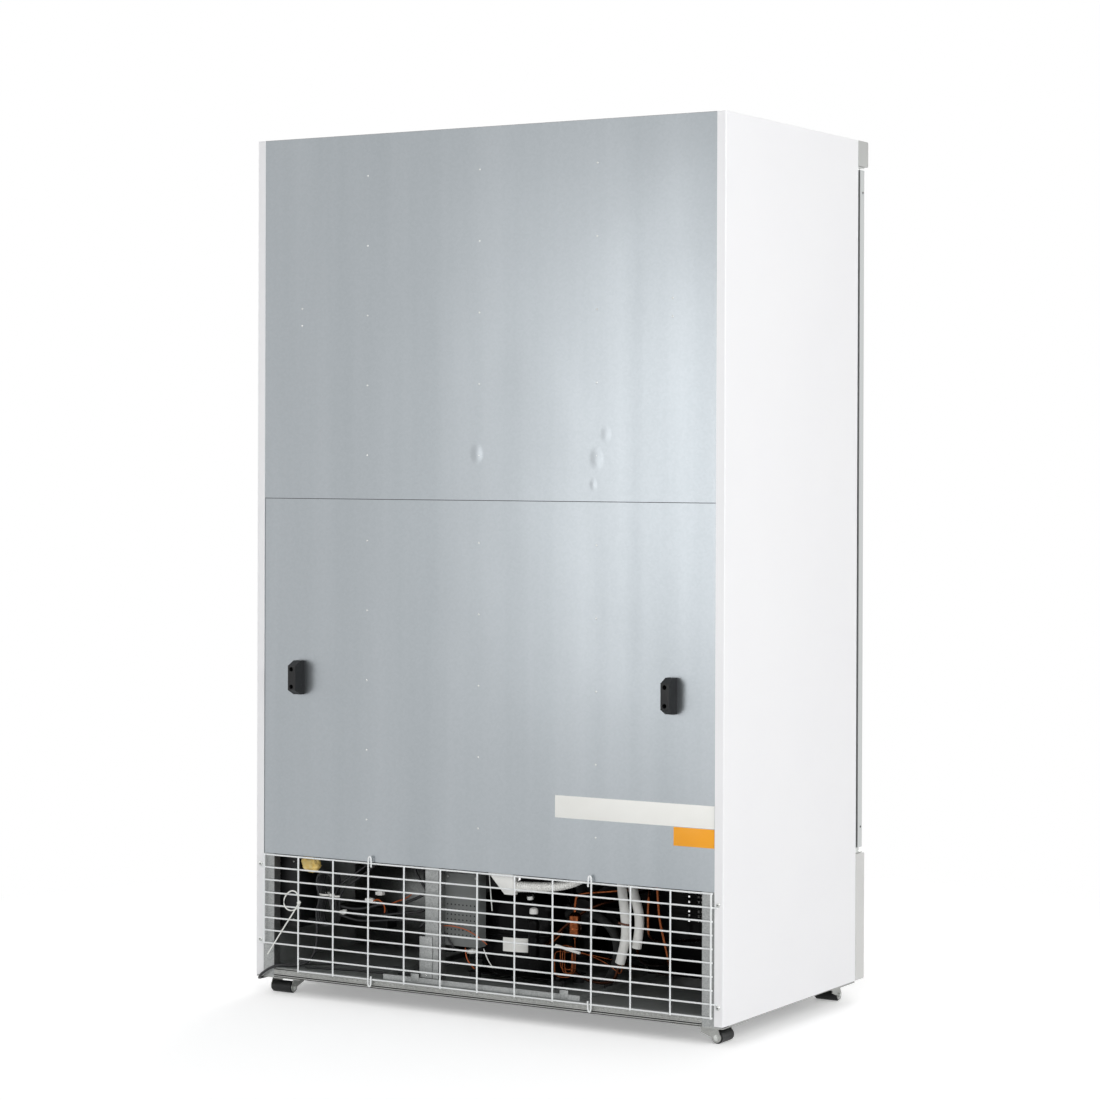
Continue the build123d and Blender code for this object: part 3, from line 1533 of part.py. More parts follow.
def hank_points():
    """Corners of the lead's hank: loops one behind the other, drawn in where the tie holds them."""
    z_low = z_hank - hank_half_height
    z_high = z_hank + hank_half_height
    y_start = y_hank - hank_pitch
    points = [(x_hank + hank_half_width + lead_diameter, y_start, z_low)]
    points.append((x_hank + hank_half_width, y_start, z_low))
    for turn in range(hank_turns):
        y = y_hank + turn * hank_pitch
        low = hank_swell * (1 + sin(hank_low_step * turn)) / 2
        high = hank_swell * (1 + sin(hank_high_step * turn)) / 2
        points.append((x_hank - hank_half_width - low, y, z_low - low))
        points.append((x_hank - hank_waist, y, z_hank))
        points.append((x_hank - hank_half_width - high, y, z_high + high))
        points.append((x_hank + hank_half_width + high, y, z_high + high))
        points.append((x_hank + hank_waist, y, z_hank))
        points.append((x_hank + hank_half_width + low, y, z_low - low))
    end = (x_hank + hank_half_width, points[-1][1], z_low - 2 * lead_diameter)
    above_end = (x_hank + hank_half_width, points[-1][1], z_low + hank_straight_end)
    return points[:-1] + [above_end, end]


def lead_hank():
    """The tied hank of the mains lead inside the guard."""
    return wound_tube("lead_hank", hank_points(), lead_diameter, hank_largest_bend)


def lead_route():
    """Route of the mains lead from the hank, out at the notch and round the corner to its plug."""
    x, y, z = hank_points()[-1]
    return [
        (x, y, z),
        (x, y, z - 34),
        (x + 6, y + 4, 98),
        (501, 319, 77),
        (524, 331, z_floor + 4.6),
        (548, 342, z_floor + 4.8),
        (566, y_back - 2.5, z_floor + 5.4),
        (584, y_back + 8.5, 62),
        (602, y_back + 12.5, 49),
        (616, y_back + 4.5, 36.6),
        (624.2, 343, 33.6),
        (624.6, 318, 33.4),
        (623.6, 288, 33.4),
        (623.4, 250, 32.5),
        (623.0, 208, 27.5),
        (618, 164, 15),
        (603, 122, 4.6),
        (583, 92, 5),
        (566, 74, 12),
        (546, 66, plug_axis_height()),
        (526, 66, plug_axis_height()),
    ]


def plug_axis_height():
    """Height of the plug's axis as it lies on the ground."""
    return plug_radius + plug_above_ground


def power_lead():
    """The lead's free stretches: gland to hank, and hank to plug."""
    start = hank_points()[0]
    first = bar((x_control - gland_length, start[1], start[2]), start, lead_diameter / 2, cord_sides)
    points = lead_route()
    bends = route_bends(points, lead_largest_bend)
    print("lead bends:", " ".join(f"{radius:.0f}" for radius in bends))
    return [first, wound_tube("power_lead", points, lead_diameter, lead_largest_bend)]


def power_plug():
    """Round moulded two-pin plug lying on the ground, its cable end towards +X."""
    x, y, z = lead_route()[-1]
    neck = cone_piece(lead_diameter / 2 + gland_tip_radius / 4, plug_neck_radius, plug_neck_length)
    shoulder = cone_piece(plug_neck_radius, plug_radius, plug_body_length / 3)
    body = Cylinder(plug_radius, plug_body_length * 2 / 3, align=(Align.CENTER, Align.CENTER, Align.MIN))
    body = chamfer(body.faces().sort_by(Axis.Z)[-1].edges(), plug_pin_radius)
    plug = neck + Pos(0, 0, plug_neck_length) * shoulder
    plug += Pos(0, 0, plug_neck_length + plug_body_length / 3) * body
    for way in (-1, 1):
        pin = Cylinder(plug_pin_radius, plug_pin_length, align=(Align.CENTER, Align.CENTER, Align.MIN))
        plug += Pos(0, way * plug_pin_pitch / 2, plug_neck_length + plug_body_length) * pin
    return Pos(x, y, z) * Rot(Y=-90) * plug


def least_gap(path, diameter):
    """Smallest clear gap between stretches of a wound tube, measured on sampled points."""
    count = int(path.length / diameter * 2)
    points = [path @ (index / count) for index in range(count + 1)]
    apart = 10
    return min(
        (points[a] - points[b]).length - diameter
        for a in range(len(points))
        for b in range(a + apart, len(points))
    )


def wound_tube(name, points, diameter, largest_bend):
    """A tube along a route, with its length, least gap to itself and volume ratio printed."""
    path = FilletPolyline(*points, radius=route_bends(points, largest_bend))
    section = section_on(path, diameter / 2, cord_sides)
    solid = sweep(section, path=path)
    share = solid.volume / (section.area * path.length)
    gap = least_gap(path, diameter)
    print(f"{name}: {path.length:.0f} mm long, least gap {gap:.2f} mm, volume ratio {share:.4f}")
    return solid


def on_side(solids, side):
    """The right-hand solids as they are, or their mirror images for the left-hand side."""
    return solids if side > 0 else [mirror(solid, about=Plane.YZ) for solid in solids]


os.makedirs("parts", exist_ok=True)

upper_sheet, lower_sheet = back_panels()
save("side_panel_right", [side_panel()])
save("side_panel_left", [mirror(side_panel(), about=Plane.YZ)])
save("back_panel_upper", [upper_sheet])
save("back_panel_lower", [lower_sheet])
save("top_panel", [top_panel()])
save("insulation", insulation())
save("liner", [liner()])
save("front_frame", front_frame())
save("top_fascia", [top_fascia()])
save("plinth_grille", [plinth_grille()])

for name, side in (("right", 1), ("left", -1)):
    save(f"door_frame_{name}", on_side(door_frame(), side))
    save(f"door_glass_{name}", on_side(door_glass(), side))
    save(f"door_gasket_{name}", on_side([door_gasket()], side))
    save(f"door_handle_{name}", on_side([door_handle()], side))

save("hinge_brackets", [piece for bracket in hinge_brackets() for piece in both_sides(bracket)])
save("base_frame", base_frame())
save("base_floor", base_floor())
save("rear_posts", rear_posts())
save("compartment_walls", compartment_walls())
save("wire_guard", wire_guard())
save("guard_screws", guard_screws())
save("wall_spacers", both_sides(wall_spacer()))

corners = {
    "rear_right": (1, 1, 0),
    "rear_left": (-1, 1, 90),
    "front_right": (1, -1, 180),
    "front_left": (-1, -1, 180),
}
plates = []
for corner, (side, end, heading) in corners.items():
    x, y = caster_centre(side, end)
    plates.append(caster_plate_solid(x, y))
    save(f"caster_yoke_{corner}", [Pos(x, y, 0) * Rot(Z=heading) * caster_yoke()])
    save(f"caster_roller_{corner}", [Pos(x, y, 0) * Rot(Z=heading) * caster_roller()])
save("caster_plates", plates)

for level in range(shelf_levels):
    save(f"shelves_level_{level + 1}", both_sides(shelf(level)))
save("shelf_supports", shelf_supports())
save("led_lamps", led_lamps())
save("evaporator_cover", [evaporator_cover()])
save("evaporator_coil", [evaporator_coil()])
save("evaporator_fan_right", [evaporator_fan(1)])
save("evaporator_fan_left", [evaporator_fan(-1)])
save("fan_motors", fan_motors())
save("compressor", compressor())
save("compressor_mounts", compressor_mounts())
save("condenser_coil", [condenser_coil()])
save("fan_shroud", [fan_shroud()])
save("condenser_fan", [condenser_fan()])
save("copper_tubes", copper_tubes())
save("insulated_tubes", insulated_tubes())
save("filter_drier", [filter_drier()])
save("drain_hose", drain())
save("electrical_box", [electrical_box()])
save("control_box", control_boxes())
save("lead_hank", [lead_hank()])
save("power_lead", power_lead())
save("power_plug", [power_plug()])
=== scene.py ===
# %% [markdown]
# # A supermarket refrigerator, seen from behind
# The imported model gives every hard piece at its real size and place. This lesson dresses it: each surface
# gets the finish of its real material, and the pieces that a sheet-metal model draws coarsely, such as
# tubes, wires, cables and cable ties, are built again as smooth, detailed shapes in the same places.
# Blender counts in metres and a workshop in millimetres, so the shapes here are written in millimetres.

# %% Load the frame
import json
import math
import bmesh
import bpy
from mathutils import Matrix, Vector, noise


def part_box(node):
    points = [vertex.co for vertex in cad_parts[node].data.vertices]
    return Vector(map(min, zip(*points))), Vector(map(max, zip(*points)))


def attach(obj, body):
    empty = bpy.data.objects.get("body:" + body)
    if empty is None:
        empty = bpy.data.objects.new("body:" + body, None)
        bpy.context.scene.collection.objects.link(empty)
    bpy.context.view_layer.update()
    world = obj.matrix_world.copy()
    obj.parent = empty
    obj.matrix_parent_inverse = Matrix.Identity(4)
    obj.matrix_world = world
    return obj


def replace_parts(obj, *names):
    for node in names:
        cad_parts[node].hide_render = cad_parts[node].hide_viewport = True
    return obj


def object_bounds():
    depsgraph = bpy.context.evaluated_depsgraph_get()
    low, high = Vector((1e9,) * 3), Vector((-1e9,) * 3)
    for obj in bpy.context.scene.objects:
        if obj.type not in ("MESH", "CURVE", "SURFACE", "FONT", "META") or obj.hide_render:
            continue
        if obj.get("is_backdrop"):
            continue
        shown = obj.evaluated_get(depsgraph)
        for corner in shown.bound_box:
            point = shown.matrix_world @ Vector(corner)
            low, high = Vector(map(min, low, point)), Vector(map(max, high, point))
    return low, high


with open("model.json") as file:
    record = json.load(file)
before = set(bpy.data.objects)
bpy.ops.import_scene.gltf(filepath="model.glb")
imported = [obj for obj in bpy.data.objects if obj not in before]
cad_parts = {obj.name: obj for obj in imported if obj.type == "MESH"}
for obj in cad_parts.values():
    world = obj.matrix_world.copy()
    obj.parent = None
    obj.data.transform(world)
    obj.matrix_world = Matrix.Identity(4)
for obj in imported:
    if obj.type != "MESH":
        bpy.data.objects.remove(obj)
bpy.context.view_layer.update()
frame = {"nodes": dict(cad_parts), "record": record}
nodes = frame["nodes"]
mm = 0.001


def box_of(node):
    """The low and high corner of a CAD piece, in millimetres."""
    return [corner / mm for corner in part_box(node)]


# %% [markdown]
# ## Colours and nodes
# Colours are written as the hex codes of a colour picker. Blender mixes light in linear values, so one
# function turns a code into those. A material is a small tree of nodes, and one more function adds a node,
# sets its sockets or options by name and links what feeds it.

# %% One function for colour and one for nodes
def srgb(code):
    """Linear red, green, blue and alpha of a hex code."""
    shares = [int(code[start:start + 2], 16) / 255 for start in (1, 3, 5)]
    return [v / 12.92 if v <= 0.04045 else ((v + 0.055) / 1.055) ** 2.4 for v in shares] + [1.0]


def add_node(tree, kind, settings, links):
    """Add a shader node, set its sockets or options by name or number, and link its inputs."""
    node = tree.nodes.new("ShaderNode" + kind)
    for name, value in settings.items():
        if isinstance(name, int) or name in node.inputs:
            node.inputs[name].default_value = value
        else:
            setattr(node, name, value)
    for name, output in links.items():
        tree.links.new(output, node.inputs[name])
    return node


def start_material(name, colour, metallic, roughness):
    """A new material with its plain values on the shader's own sockets."""
    material = bpy.data.materials.new(name)
    material.use_nodes = True
    shader = material.node_tree.nodes["Principled BSDF"]
    shader.inputs["Base Color"].default_value = srgb(colour)
    shader.inputs["Metallic"].default_value = metallic
    shader.inputs["Roughness"].default_value = roughness
    material.diffuse_color = srgb(colour)
    return material, material.node_tree, shader


def feed(tree, shader, tone, gloss, bump):
    """Link the nodes that give a surface its colour, roughness and relief, where it has them."""
    if tone:
        tree.links.new(tone.outputs[2], shader.inputs["Base Color"])
    if gloss:
        tree.links.new(gloss.outputs["Result"], shader.inputs["Roughness"])
    tree.links.new(bump.outputs["Normal"], shader.inputs["Normal"])


print("white is", [round(v, 2) for v in srgb("#FFFFFF")])

# %% [markdown]
# ## The surfaces that vary a little
# Paint, plastic and rubber are never one flat colour. A slow noise moves the colour between two close
# tones and the gloss between two values, as handling does, and a fine one raises the grain that the mould or
# the spray left. The sizes of patch and grain are in millimetres. A grain under a millimetre would vanish in
# the picture, so it is drawn as coarse as it needs to show.

# %% A helper for paint, plastic and rubber
def varied_material(name, light, dark, rough, sizes, metallic=0.0, specular=0.5):
    """Two close tones, a gloss between two values, and the sizes of patch, grain and relief."""
    patch, grain, relief = [size * mm for size in sizes]
    material, tree, shader = start_material(name, light, metallic, rough[0])
    shader.inputs["Specular IOR Level"].default_value = specular
    where = add_node(tree, "TexCoord", {}, {}).outputs["Object"]
    slow = add_node(tree, "TexNoise", {"Scale": 1 / patch, "Detail": 3.0}, {"Vector": where})
    tone = add_node(tree, "Mix", {"data_type": "RGBA", 6: srgb(light), 7: srgb(dark)},
                    {0: slow.outputs["Fac"]})
    gloss = add_node(tree, "MapRange",
                     {"From Min": 0.35, "From Max": 0.65, "To Min": rough[0], "To Max": rough[1]},
                     {"Value": slow.outputs["Fac"]})
    fine = add_node(tree, "TexNoise", {"Scale": 1 / grain, "Detail": 2.0}, {"Vector": where})
    bump = add_node(tree, "Bump", {"Strength": 0.5, "Distance": relief}, {"Height": fine.outputs["Fac"]})
    feed(tree, shader, tone, gloss, bump)
    return material


# %% [markdown]
# ### White powder coat
# The side sheets are steel with a baked powder coat. Powder melts into a slightly wavy skin, called orange
# peel, a few millimetres across and a few hundredths high, so its reflections are soft and a little uneven.

# %% White powder-coated steel, and the coating of the guard's wires
white_coat = varied_material("powder_coated_steel_white", "#F3F3F4", "#F0F0F2", (0.32, 0.4), (300, 3, 0.03))
wire_coat = varied_material("powder_coated_wire_white", "#F3F5F5", "#E6E9EA", (0.3, 0.42), (40, 2, 0.05))
print("coats:", white_coat.name, wire_coat.name)

# %% [markdown]
# ### Galvanised sheet
# The back and the frame are steel dipped in zinc. The zinc freezes in flat crystals, the spangle, a few
# millimetres across, each tilted its own way, so the sheet shimmers in dull patches. A Voronoi texture
# has just such cells: their random value moves the tone and the gloss a little. A noise stretched upright
# gives the faint bands that rolling leaves along a sheet, and a slow one its long, shallow waves.

# %% Galvanised steel with its spangle
def zinc_material(name, light, dark, rough, cell, wave, spangle, metallic=1.0):
    """Zinc crystals of some size and strength over long waves of some height in the sheet."""
    material, tree, shader = start_material(name, light, metallic, rough[0])
    where = add_node(tree, "TexCoord", {}, {}).outputs["Object"]
    crystals = add_node(tree, "TexVoronoi", {"Scale": 1 / (cell * mm)}, {"Vector": where})
    value = add_node(tree, "SeparateColor", {}, {"Color": crystals.outputs["Color"]})
    upright = add_node(tree, "Mapping", {"Scale": (9.0, 9.0, 0.4)}, {"Vector": where})
    bands = add_node(tree, "TexNoise", {"Scale": 1.0, "Detail": 3.0}, {"Vector": upright.outputs["Vector"]})
    share = add_node(tree, "Math", {"operation": "MULTIPLY_ADD", 1: spangle, 2: 0.0},
                     {0: value.outputs["Red"]})
    both = add_node(tree, "Math", {"operation": "MULTIPLY_ADD", 1: 1 - spangle},
                    {0: bands.outputs["Fac"], 2: share.outputs["Value"]})
    tone = add_node(tree, "Mix", {"data_type": "RGBA", 6: srgb(light), 7: srgb(dark)},
                    {0: both.outputs["Value"]})
    gloss = add_node(tree, "MapRange", {"To Min": rough[0], "To Max": rough[1]},
                     {"Value": both.outputs["Value"]})
    sway = add_node(tree, "TexNoise", {"Scale": 3.0, "Detail": 1.0}, {"Vector": where})
    bump = add_node(tree, "Bump", {"Strength": 1.0, "Distance": wave * mm}, {"Height": sway.outputs["Fac"]})
    feed(tree, shader, tone, gloss, bump)
    return material


back_zinc = zinc_material("galvanised_steel_back", "#B1B6BA", "#989EA2", (0.3, 0.37), 5, 2.6, 0.14)
frame_zinc = zinc_material("galvanised_steel_frame", "#ABADAC", "#828484", (0.42, 0.54), 2.4, 0.4, 0.45)
rail_zinc = zinc_material("galvanised_steel_rail", "#B2B3B0", "#919290", (0.42, 0.55), 2.4, 0.3, 0.3)
floor_zinc = zinc_material("galvanised_steel_dusty", "#8F9291", "#6E7170", (0.5, 0.65), 4, 0.6, 0.2, 0.4)
print("zinc:", back_zinc.name, frame_zinc.name, rail_zinc.name, floor_zinc.name)

# %% [markdown]
# ### Plastics and rubbers
# The mouldings at the top and the foot are grey ABS with a fine eroded texture. Wall spacers, boxes and
# rollers are black polypropylene or nylon, which is duller where hands and floors have rubbed it. The door
# seal is soft PVC, and the compressor stands on rubber grommets.

# %% Moulded plastics and rubbers
plinth_abs = varied_material("moulded_abs_light_grey", "#D6D6D4", "#CCCCCA", (0.42, 0.55), (200, 1.2, 0.05))
fascia_abs = varied_material("moulded_abs_grey", "#BCBDBB", "#B3B4B2", (0.42, 0.55), (200, 1.2, 0.05))
black_nylon = varied_material("moulded_nylon_black", "#101112", "#1B1C1D", (0.38, 0.55), (30, 1.5, 0.08),
                              specular=0.35)
seal_pvc = varied_material("soft_pvc_seal_grey", "#45474A", "#34363A", (0.55, 0.7), (80, 2, 0.05))
mount_rubber = varied_material("moulded_rubber_black", "#151515", "#242424", (0.7, 0.85), (12, 1.5, 0.1))
white_pp = varied_material("moulded_polypropylene_white", "#F6F6F3", "#EAEAE6", (0.35, 0.5), (25, 2, 0.04))
tie_nylon = varied_material("nylon_cable_tie_white", "#F4F4F0", "#E4E5E0", (0.3, 0.42), (10, 1.5, 0.03))
lead_pvc = varied_material("pvc_lead_sheath_black", "#17181A", "#232427", (0.42, 0.55), (25, 2, 0.05))
tie_brown = varied_material("moulded_rubber_brown", "#6B3F28", "#4F2C1B", (0.45, 0.6), (10, 2, 0.03))
wire_orange = varied_material("pvc_wire_orange", "#C8642C", "#B0501F", (0.4, 0.5), (10, 2, 0.03))
print("plastics made:", len([m for m in bpy.data.materials if "moulded" in m.name]))

# %% [markdown]
# ### Enamel, copper and aluminium
# The compressor's shell is dipped in black enamel, glossy with a faint orange peel, so it mirrors the
# room in long streaks. Copper tube leaves the mill bright and browns where it was brazed. The door
# profiles are anodised aluminium, drawn through a die: the fine lines along the profile blur reflections
# one way only, which stretched noise gives without any image.

# %% Enamel, paint, copper and plated steel
shell_enamel = varied_material("black_enamel_shell", "#050506", "#0B0B0C", (0.22, 0.32), (90, 4, 0.06),
                               specular=0.07)
black_paint = varied_material("black_painted_steel", "#0C0C0D", "#121213", (0.45, 0.6), (60, 2, 0.04),
                              specular=0.2)
box_paint = varied_material("grey_painted_box", "#757877", "#646766", (0.5, 0.62), (60, 1.5, 0.05))
copper = varied_material("drawn_copper_tube", "#A8603A", "#24120B", (0.14, 0.3), (7, 2.5, 0.08), 1.0)
brown_copper = varied_material("browned_copper_tube", "#5A3424", "#1C100B", (0.25, 0.4), (9, 2.5, 0.08), 1.0)
zinc_plate = varied_material("zinc_plated_steel", "#DADCDA", "#B9BBB8", (0.3, 0.42), (18, 1.2, 0.02), 1.0)
fin_aluminium = varied_material("pressed_fin_aluminium", "#C4C8C9", "#B2B6B8", (0.35, 0.5),
                                (40, 3, 0.05), 1.0)
print("metals:", shell_enamel.name, copper.name, zinc_plate.name)

# %% Anodised aluminium of the doors
door_alu, tree, shader = start_material("anodised_aluminium_door", "#CBCECD", 1.0, 0.34)
where = add_node(tree, "TexCoord", {}, {}).outputs["Object"]
stretch = add_node(tree, "Mapping", {"Scale": (900.0, 900.0, 6.0)}, {"Vector": where})
lines = add_node(tree, "TexNoise", {"Scale": 1.0, "Detail": 2.0}, {"Vector": stretch.outputs["Vector"]})
gloss = add_node(tree, "MapRange", {"To Min": 0.28, "To Max": 0.42}, {"Value": lines.outputs["Fac"]})
bump = add_node(tree, "Bump", {"Strength": 0.4, "Distance": 0.02 * mm}, {"Height": lines.outputs["Fac"]})
feed(tree, shader, None, gloss, bump)
print("aluminium:", door_alu.name)

# %% [markdown]
# ### Glass and foam
# The doors carry two panes of toughened float glass. Its edge looks green and its face clear, so the
# colour is nearly white and the transmission full. The insulation of the suction tubes is white
# polyethylene foam with a dry, matt skin of tiny closed cells, and the cabinet's own foam is pale yellow
# polyurethane, which also fills the hole where the cables come down.

# %% Glass and foams
glass, tree, shader = start_material("toughened_float_glass", "#FAFDFC", 0.0, 0.02)
shader.inputs["Transmission Weight"].default_value = 1.0
shader.inputs["IOR"].default_value = 1.5
where = add_node(tree, "TexCoord", {}, {}).outputs["Object"]
ripple = add_node(tree, "TexNoise", {"Scale": 4.0, "Detail": 0.0}, {"Vector": where})
bump = add_node(tree, "Bump", {"Strength": 0.15, "Distance": 0.2 * mm}, {"Height": ripple.outputs["Fac"]})
feed(tree, shader, None, None, bump)
sleeve_foam = varied_material("polyethylene_foam_white", "#EFEFEC", "#DADAD6", (0.7, 0.85), (18, 2, 0.25))
hose_foam = varied_material("rubber_foam_black", "#161717", "#202121", (0.75, 0.9), (20, 2, 0.3))
wall_foam = varied_material("polyurethane_foam_yellow", "#FFF3BC", "#FFCB45", (0.8, 0.95), (9, 2.5, 0.9))
print("soft and clear finishes:", glass.name, sleeve_foam.name, wall_foam.name)

# %% [markdown]
# ## Stage, light and camera
# The photograph is a studio cut-out: white all round, soft light from above and behind the camera. The
# world is pure white wherever the camera, a reflection or a pane looks at it, and dimmer as a light, so
# the white coat keeps its shading. The floor adds a little of its own light to those looks only and fades
# into the same white a metre or two away, so it shows no horizon and still keeps the contact shadow.

# %% World and floor
def placed(name, data):
    """A new object with some data, put in the scene."""
    piece = bpy.data.objects.new(name, data)
    bpy.context.scene.collection.objects.link(piece)
    return piece


def looked_at(tree):
    """An output that is 1 where the camera, a pane or a reflection looks, and 0 for light."""
    ray = add_node(tree, "LightPath", {}, {})
    sharp = add_node(tree, "Math", {"operation": "MAXIMUM"},
                     {0: ray.outputs["Is Camera Ray"], 1: ray.outputs["Is Transmission Ray"]})
    seen = add_node(tree, "Math", {"operation": "MAXIMUM"},
                    {0: sharp.outputs["Value"], 1: ray.outputs["Is Glossy Ray"]})
    return seen.outputs["Value"]


world = bpy.data.worlds.new("studio_white")
bpy.context.scene.world = world
world.use_nodes = True
tree = world.node_tree
tree.nodes.clear()
ambient = add_node(tree, "Background", {"Color": srgb("#FFFFFF"), "Strength": 0.42}, {})
backdrop = add_node(tree, "Background", {"Color": srgb("#FFFFFF"), "Strength": 1.0}, {})
choice = add_node(tree, "MixShader", {}, {0: looked_at(tree), 1: ambient.outputs[0], 2: backdrop.outputs[0]})
add_node(tree, "OutputWorld", {}, {"Surface": choice.outputs[0]})

floor_white, tree, shader = start_material("studio_floor_white", "#F6F6F6", 0.0, 0.9)
seen = looked_at(tree)
lift = add_node(tree, "Math", {"operation": "MULTIPLY", 1: 0.3}, {0: seen})
shader.inputs["Emission Color"].default_value = srgb("#FFFFFF")
tree.links.new(lift.outputs["Value"], shader.inputs["Emission Strength"])
where = add_node(tree, "TexCoord", {}, {}).outputs["Object"]
away = add_node(tree, "VectorMath", {"operation": "LENGTH"}, {0: where})
fade = add_node(tree, "MapRange", {"From Min": 0.9, "From Max": 2.2}, {"Value": away.outputs["Value"]})
blend = add_node(tree, "Math", {"operation": "MULTIPLY"}, {0: fade.outputs["Result"], 1: seen})
white = add_node(tree, "Emission", {"Color": srgb("#FFFFFF"), "Strength": 1.0}, {})
shade = add_node(tree, "MixShader", {},
                 {0: blend.outputs["Value"], 1: shader.outputs["BSDF"], 2: white.outputs["Emission"]})
tree.links.new(shade.outputs["Shader"], tree.nodes["Material Output"].inputs["Surface"])
floor_mesh = bpy.data.meshes.new("studio_floor")
reach = 30.0
floor_corners = [(-reach, -reach, 0), (reach, -reach, 0), (reach, reach, 0), (-reach, reach, 0)]
floor_mesh.from_pydata(floor_corners, [], [(0, 1, 2, 3)])
floor_mesh.materials.append(floor_white)
placed("studio_floor", floor_mesh)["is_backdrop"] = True
bpy.context.scene.view_settings.view_transform = "Standard"
print("floor reaches", reach, "m")

# %% [markdown]
# The camera stands behind the refrigerator, to its left as seen from the doors, about seven metres away
# with a long lens. The picture's centre isn't the lens's axis: the photograph was cropped, which a
# vertical shift of the lens repeats without tilting the uprights.

# %% Camera
camera_place = Vector((-3.5365, 5.9385, 1.2673))
heading = math.radians(149.0367)
pitch = math.radians(-0.3628)
roll = math.radians(0.1908)
forward = Vector((math.sin(heading) * math.cos(pitch), math.cos(heading) * math.cos(pitch), math.sin(pitch)))
level_right = Vector((math.cos(heading), -math.sin(heading), 0))
level_up = level_right.cross(forward)
right = math.cos(roll) * level_right + math.sin(roll) * level_up
up = math.cos(roll) * level_up - math.sin(roll) * level_right
lens = bpy.data.cameras.new("studio_camera")
lens.sensor_width = 36.0
lens.lens = 95.13
lens.shift_y = -0.0631
lens.clip_end = 100.0
camera = placed("studio_camera", lens)
camera.matrix_world = Matrix.Translation(camera_place) @ Matrix((right, up, -forward)).transposed().to_4x4()
bpy.context.scene.camera = camera
print("camera at", [round(v, 2) for v in camera.location], "lens", lens.lens, "mm")

# %% Soft boxes
middle = (0, 0, 1.0)
soft_boxes = {  # each one's place, what it looks at, its width, height and watts
    "soft_box_side": ((-5.0, 1.5, 2.3), middle, 3.0, 3.0, 94),
    "soft_box_back": ((-3.0, 4.6, 3.4), (-0.4, 0.3, 1.0), 2.4, 2.0, 62),
    "soft_box_sheen": ((0.95, 3.4, 1.25), (-0.45, 0.35, 1.2), 0.9, 1.5, 10),
    "soft_box_front": ((1.5, -6.0, 3.2), middle, 3.5, 2.5, 130),
    "soft_box_right": ((5.5, 0.5, 3.0), middle, 3.0, 3.0, 68),
}
for name, (place, target, width, height, watts) in soft_boxes.items():
    light = bpy.data.lights.new(name, "AREA")
    light.shape = "RECTANGLE"
    light.size = width
    light.size_y = height
    light.energy = watts
    lamp = placed(name, light)
    lamp.location = place
    lamp.rotation_euler = (Vector(target) - Vector(place)).to_track_quat("-Z", "Y").to_euler()
print("lights:", len(soft_boxes))

# %% [markdown]
# ## Building blocks
# Most pieces here are one of four forms: a box with its edges broken, a bundle of straight bars, a shape
# turned on a lathe, and a tube along a route. Each gets one function, which takes millimetres. A tube is a
# NURBS curve with a round section: its points are where a person would bend it, and the curve runs
# smoothly between them.

# %% Helpers that make a piece
def finished(piece, finish, body="cabinet"):
    """Give a piece its material and the body that it moves with."""
    piece.data.materials.clear()
    piece.data.materials.append(finish)
    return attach(piece, body)


def mesh_piece(name, shape, smooth_angle=35):
    """An object from a bmesh in millimetres, with smooth shading up to an angle in degrees."""
    data = bpy.data.meshes.new(name)
    bmesh.ops.recalc_face_normals(shape, faces=shape.faces)
    shape.transform(Matrix.Diagonal((mm, mm, mm, 1)))
    shape.to_mesh(data)
    shape.free()
    data.polygons.foreach_set("use_smooth", [True] * len(data.polygons))
    data.set_sharp_from_angle(angle=math.radians(smooth_angle))
    return placed(name, data)


def reshape(piece, move):
    """Move each point of a mesh piece by a function that works in millimetres."""
    for vertex in piece.data.vertices:
        vertex.co = move(vertex.co / mm) * mm
    return piece


def add_box(shape, low, high, edge=0.0):
    """Add a box between two corners to a bmesh, with its edges rounded."""
    size = Vector(high) - Vector(low)
    matrix = Matrix.Translation(Vector(low) + size / 2) @ Matrix.Diagonal((*size, 1))
    made = bmesh.ops.create_cube(shape, size=1.0, matrix=matrix)
    if edge:
        edges = list({e for v in made["verts"] for e in v.link_edges})
        bmesh.ops.bevel(shape, geom=edges, offset=edge, segments=2, profile=0.5, affect="EDGES")


def upright_on(axis):
    """The turn that stands a shape's Z up along an axis."""
    return Vector(axis).to_track_quat("Z", "Y").to_matrix().to_4x4()


def add_rod(shape, start, end, radius, sides=16):
    """Add a round bar between two points to a bmesh, or a cone where it has two radii."""
    start = Vector(start)
    run = Vector(end) - start
    first, last = radius if isinstance(radius, tuple) else (radius, radius)
    bmesh.ops.create_cone(shape, cap_ends=True, segments=sides, radius1=first, radius2=last,
                          depth=run.length, matrix=Matrix.Translation(start + run / 2) @ upright_on(run))


def add_grains(shape, places, radius, stretch):
    """Add small balls, stretched or flattened by three factors, to a bmesh."""
    for place in places:
        matrix = Matrix.Translation(place) @ Matrix.Diagonal((*stretch, 1))
        bmesh.ops.create_uvsphere(shape, u_segments=16, v_segments=8, radius=radius, matrix=matrix)


# %% Helpers for turned shapes and tubes
def ring_stack(name, rings, smooth_angle):
    """A closed skin over rings of points, from the first ring to the last."""
    shape = bmesh.new()
    loops = [[shape.verts.new(point) for point in ring] for ring in rings]
    for lower, upper in zip(loops, loops[1:]):
        for step in range(len(lower)):
            after = (step + 1) % len(lower)
            shape.faces.new((lower[step], lower[after], upper[after], upper[step]))
    shape.faces.new(reversed(loops[0]))
    shape.faces.new(loops[-1])
    return mesh_piece(name, shape, smooth_angle)


def full_turn(steps):
    """The angles of one turn in equal steps."""
    return [2 * math.pi * step / steps for step in range(steps)]


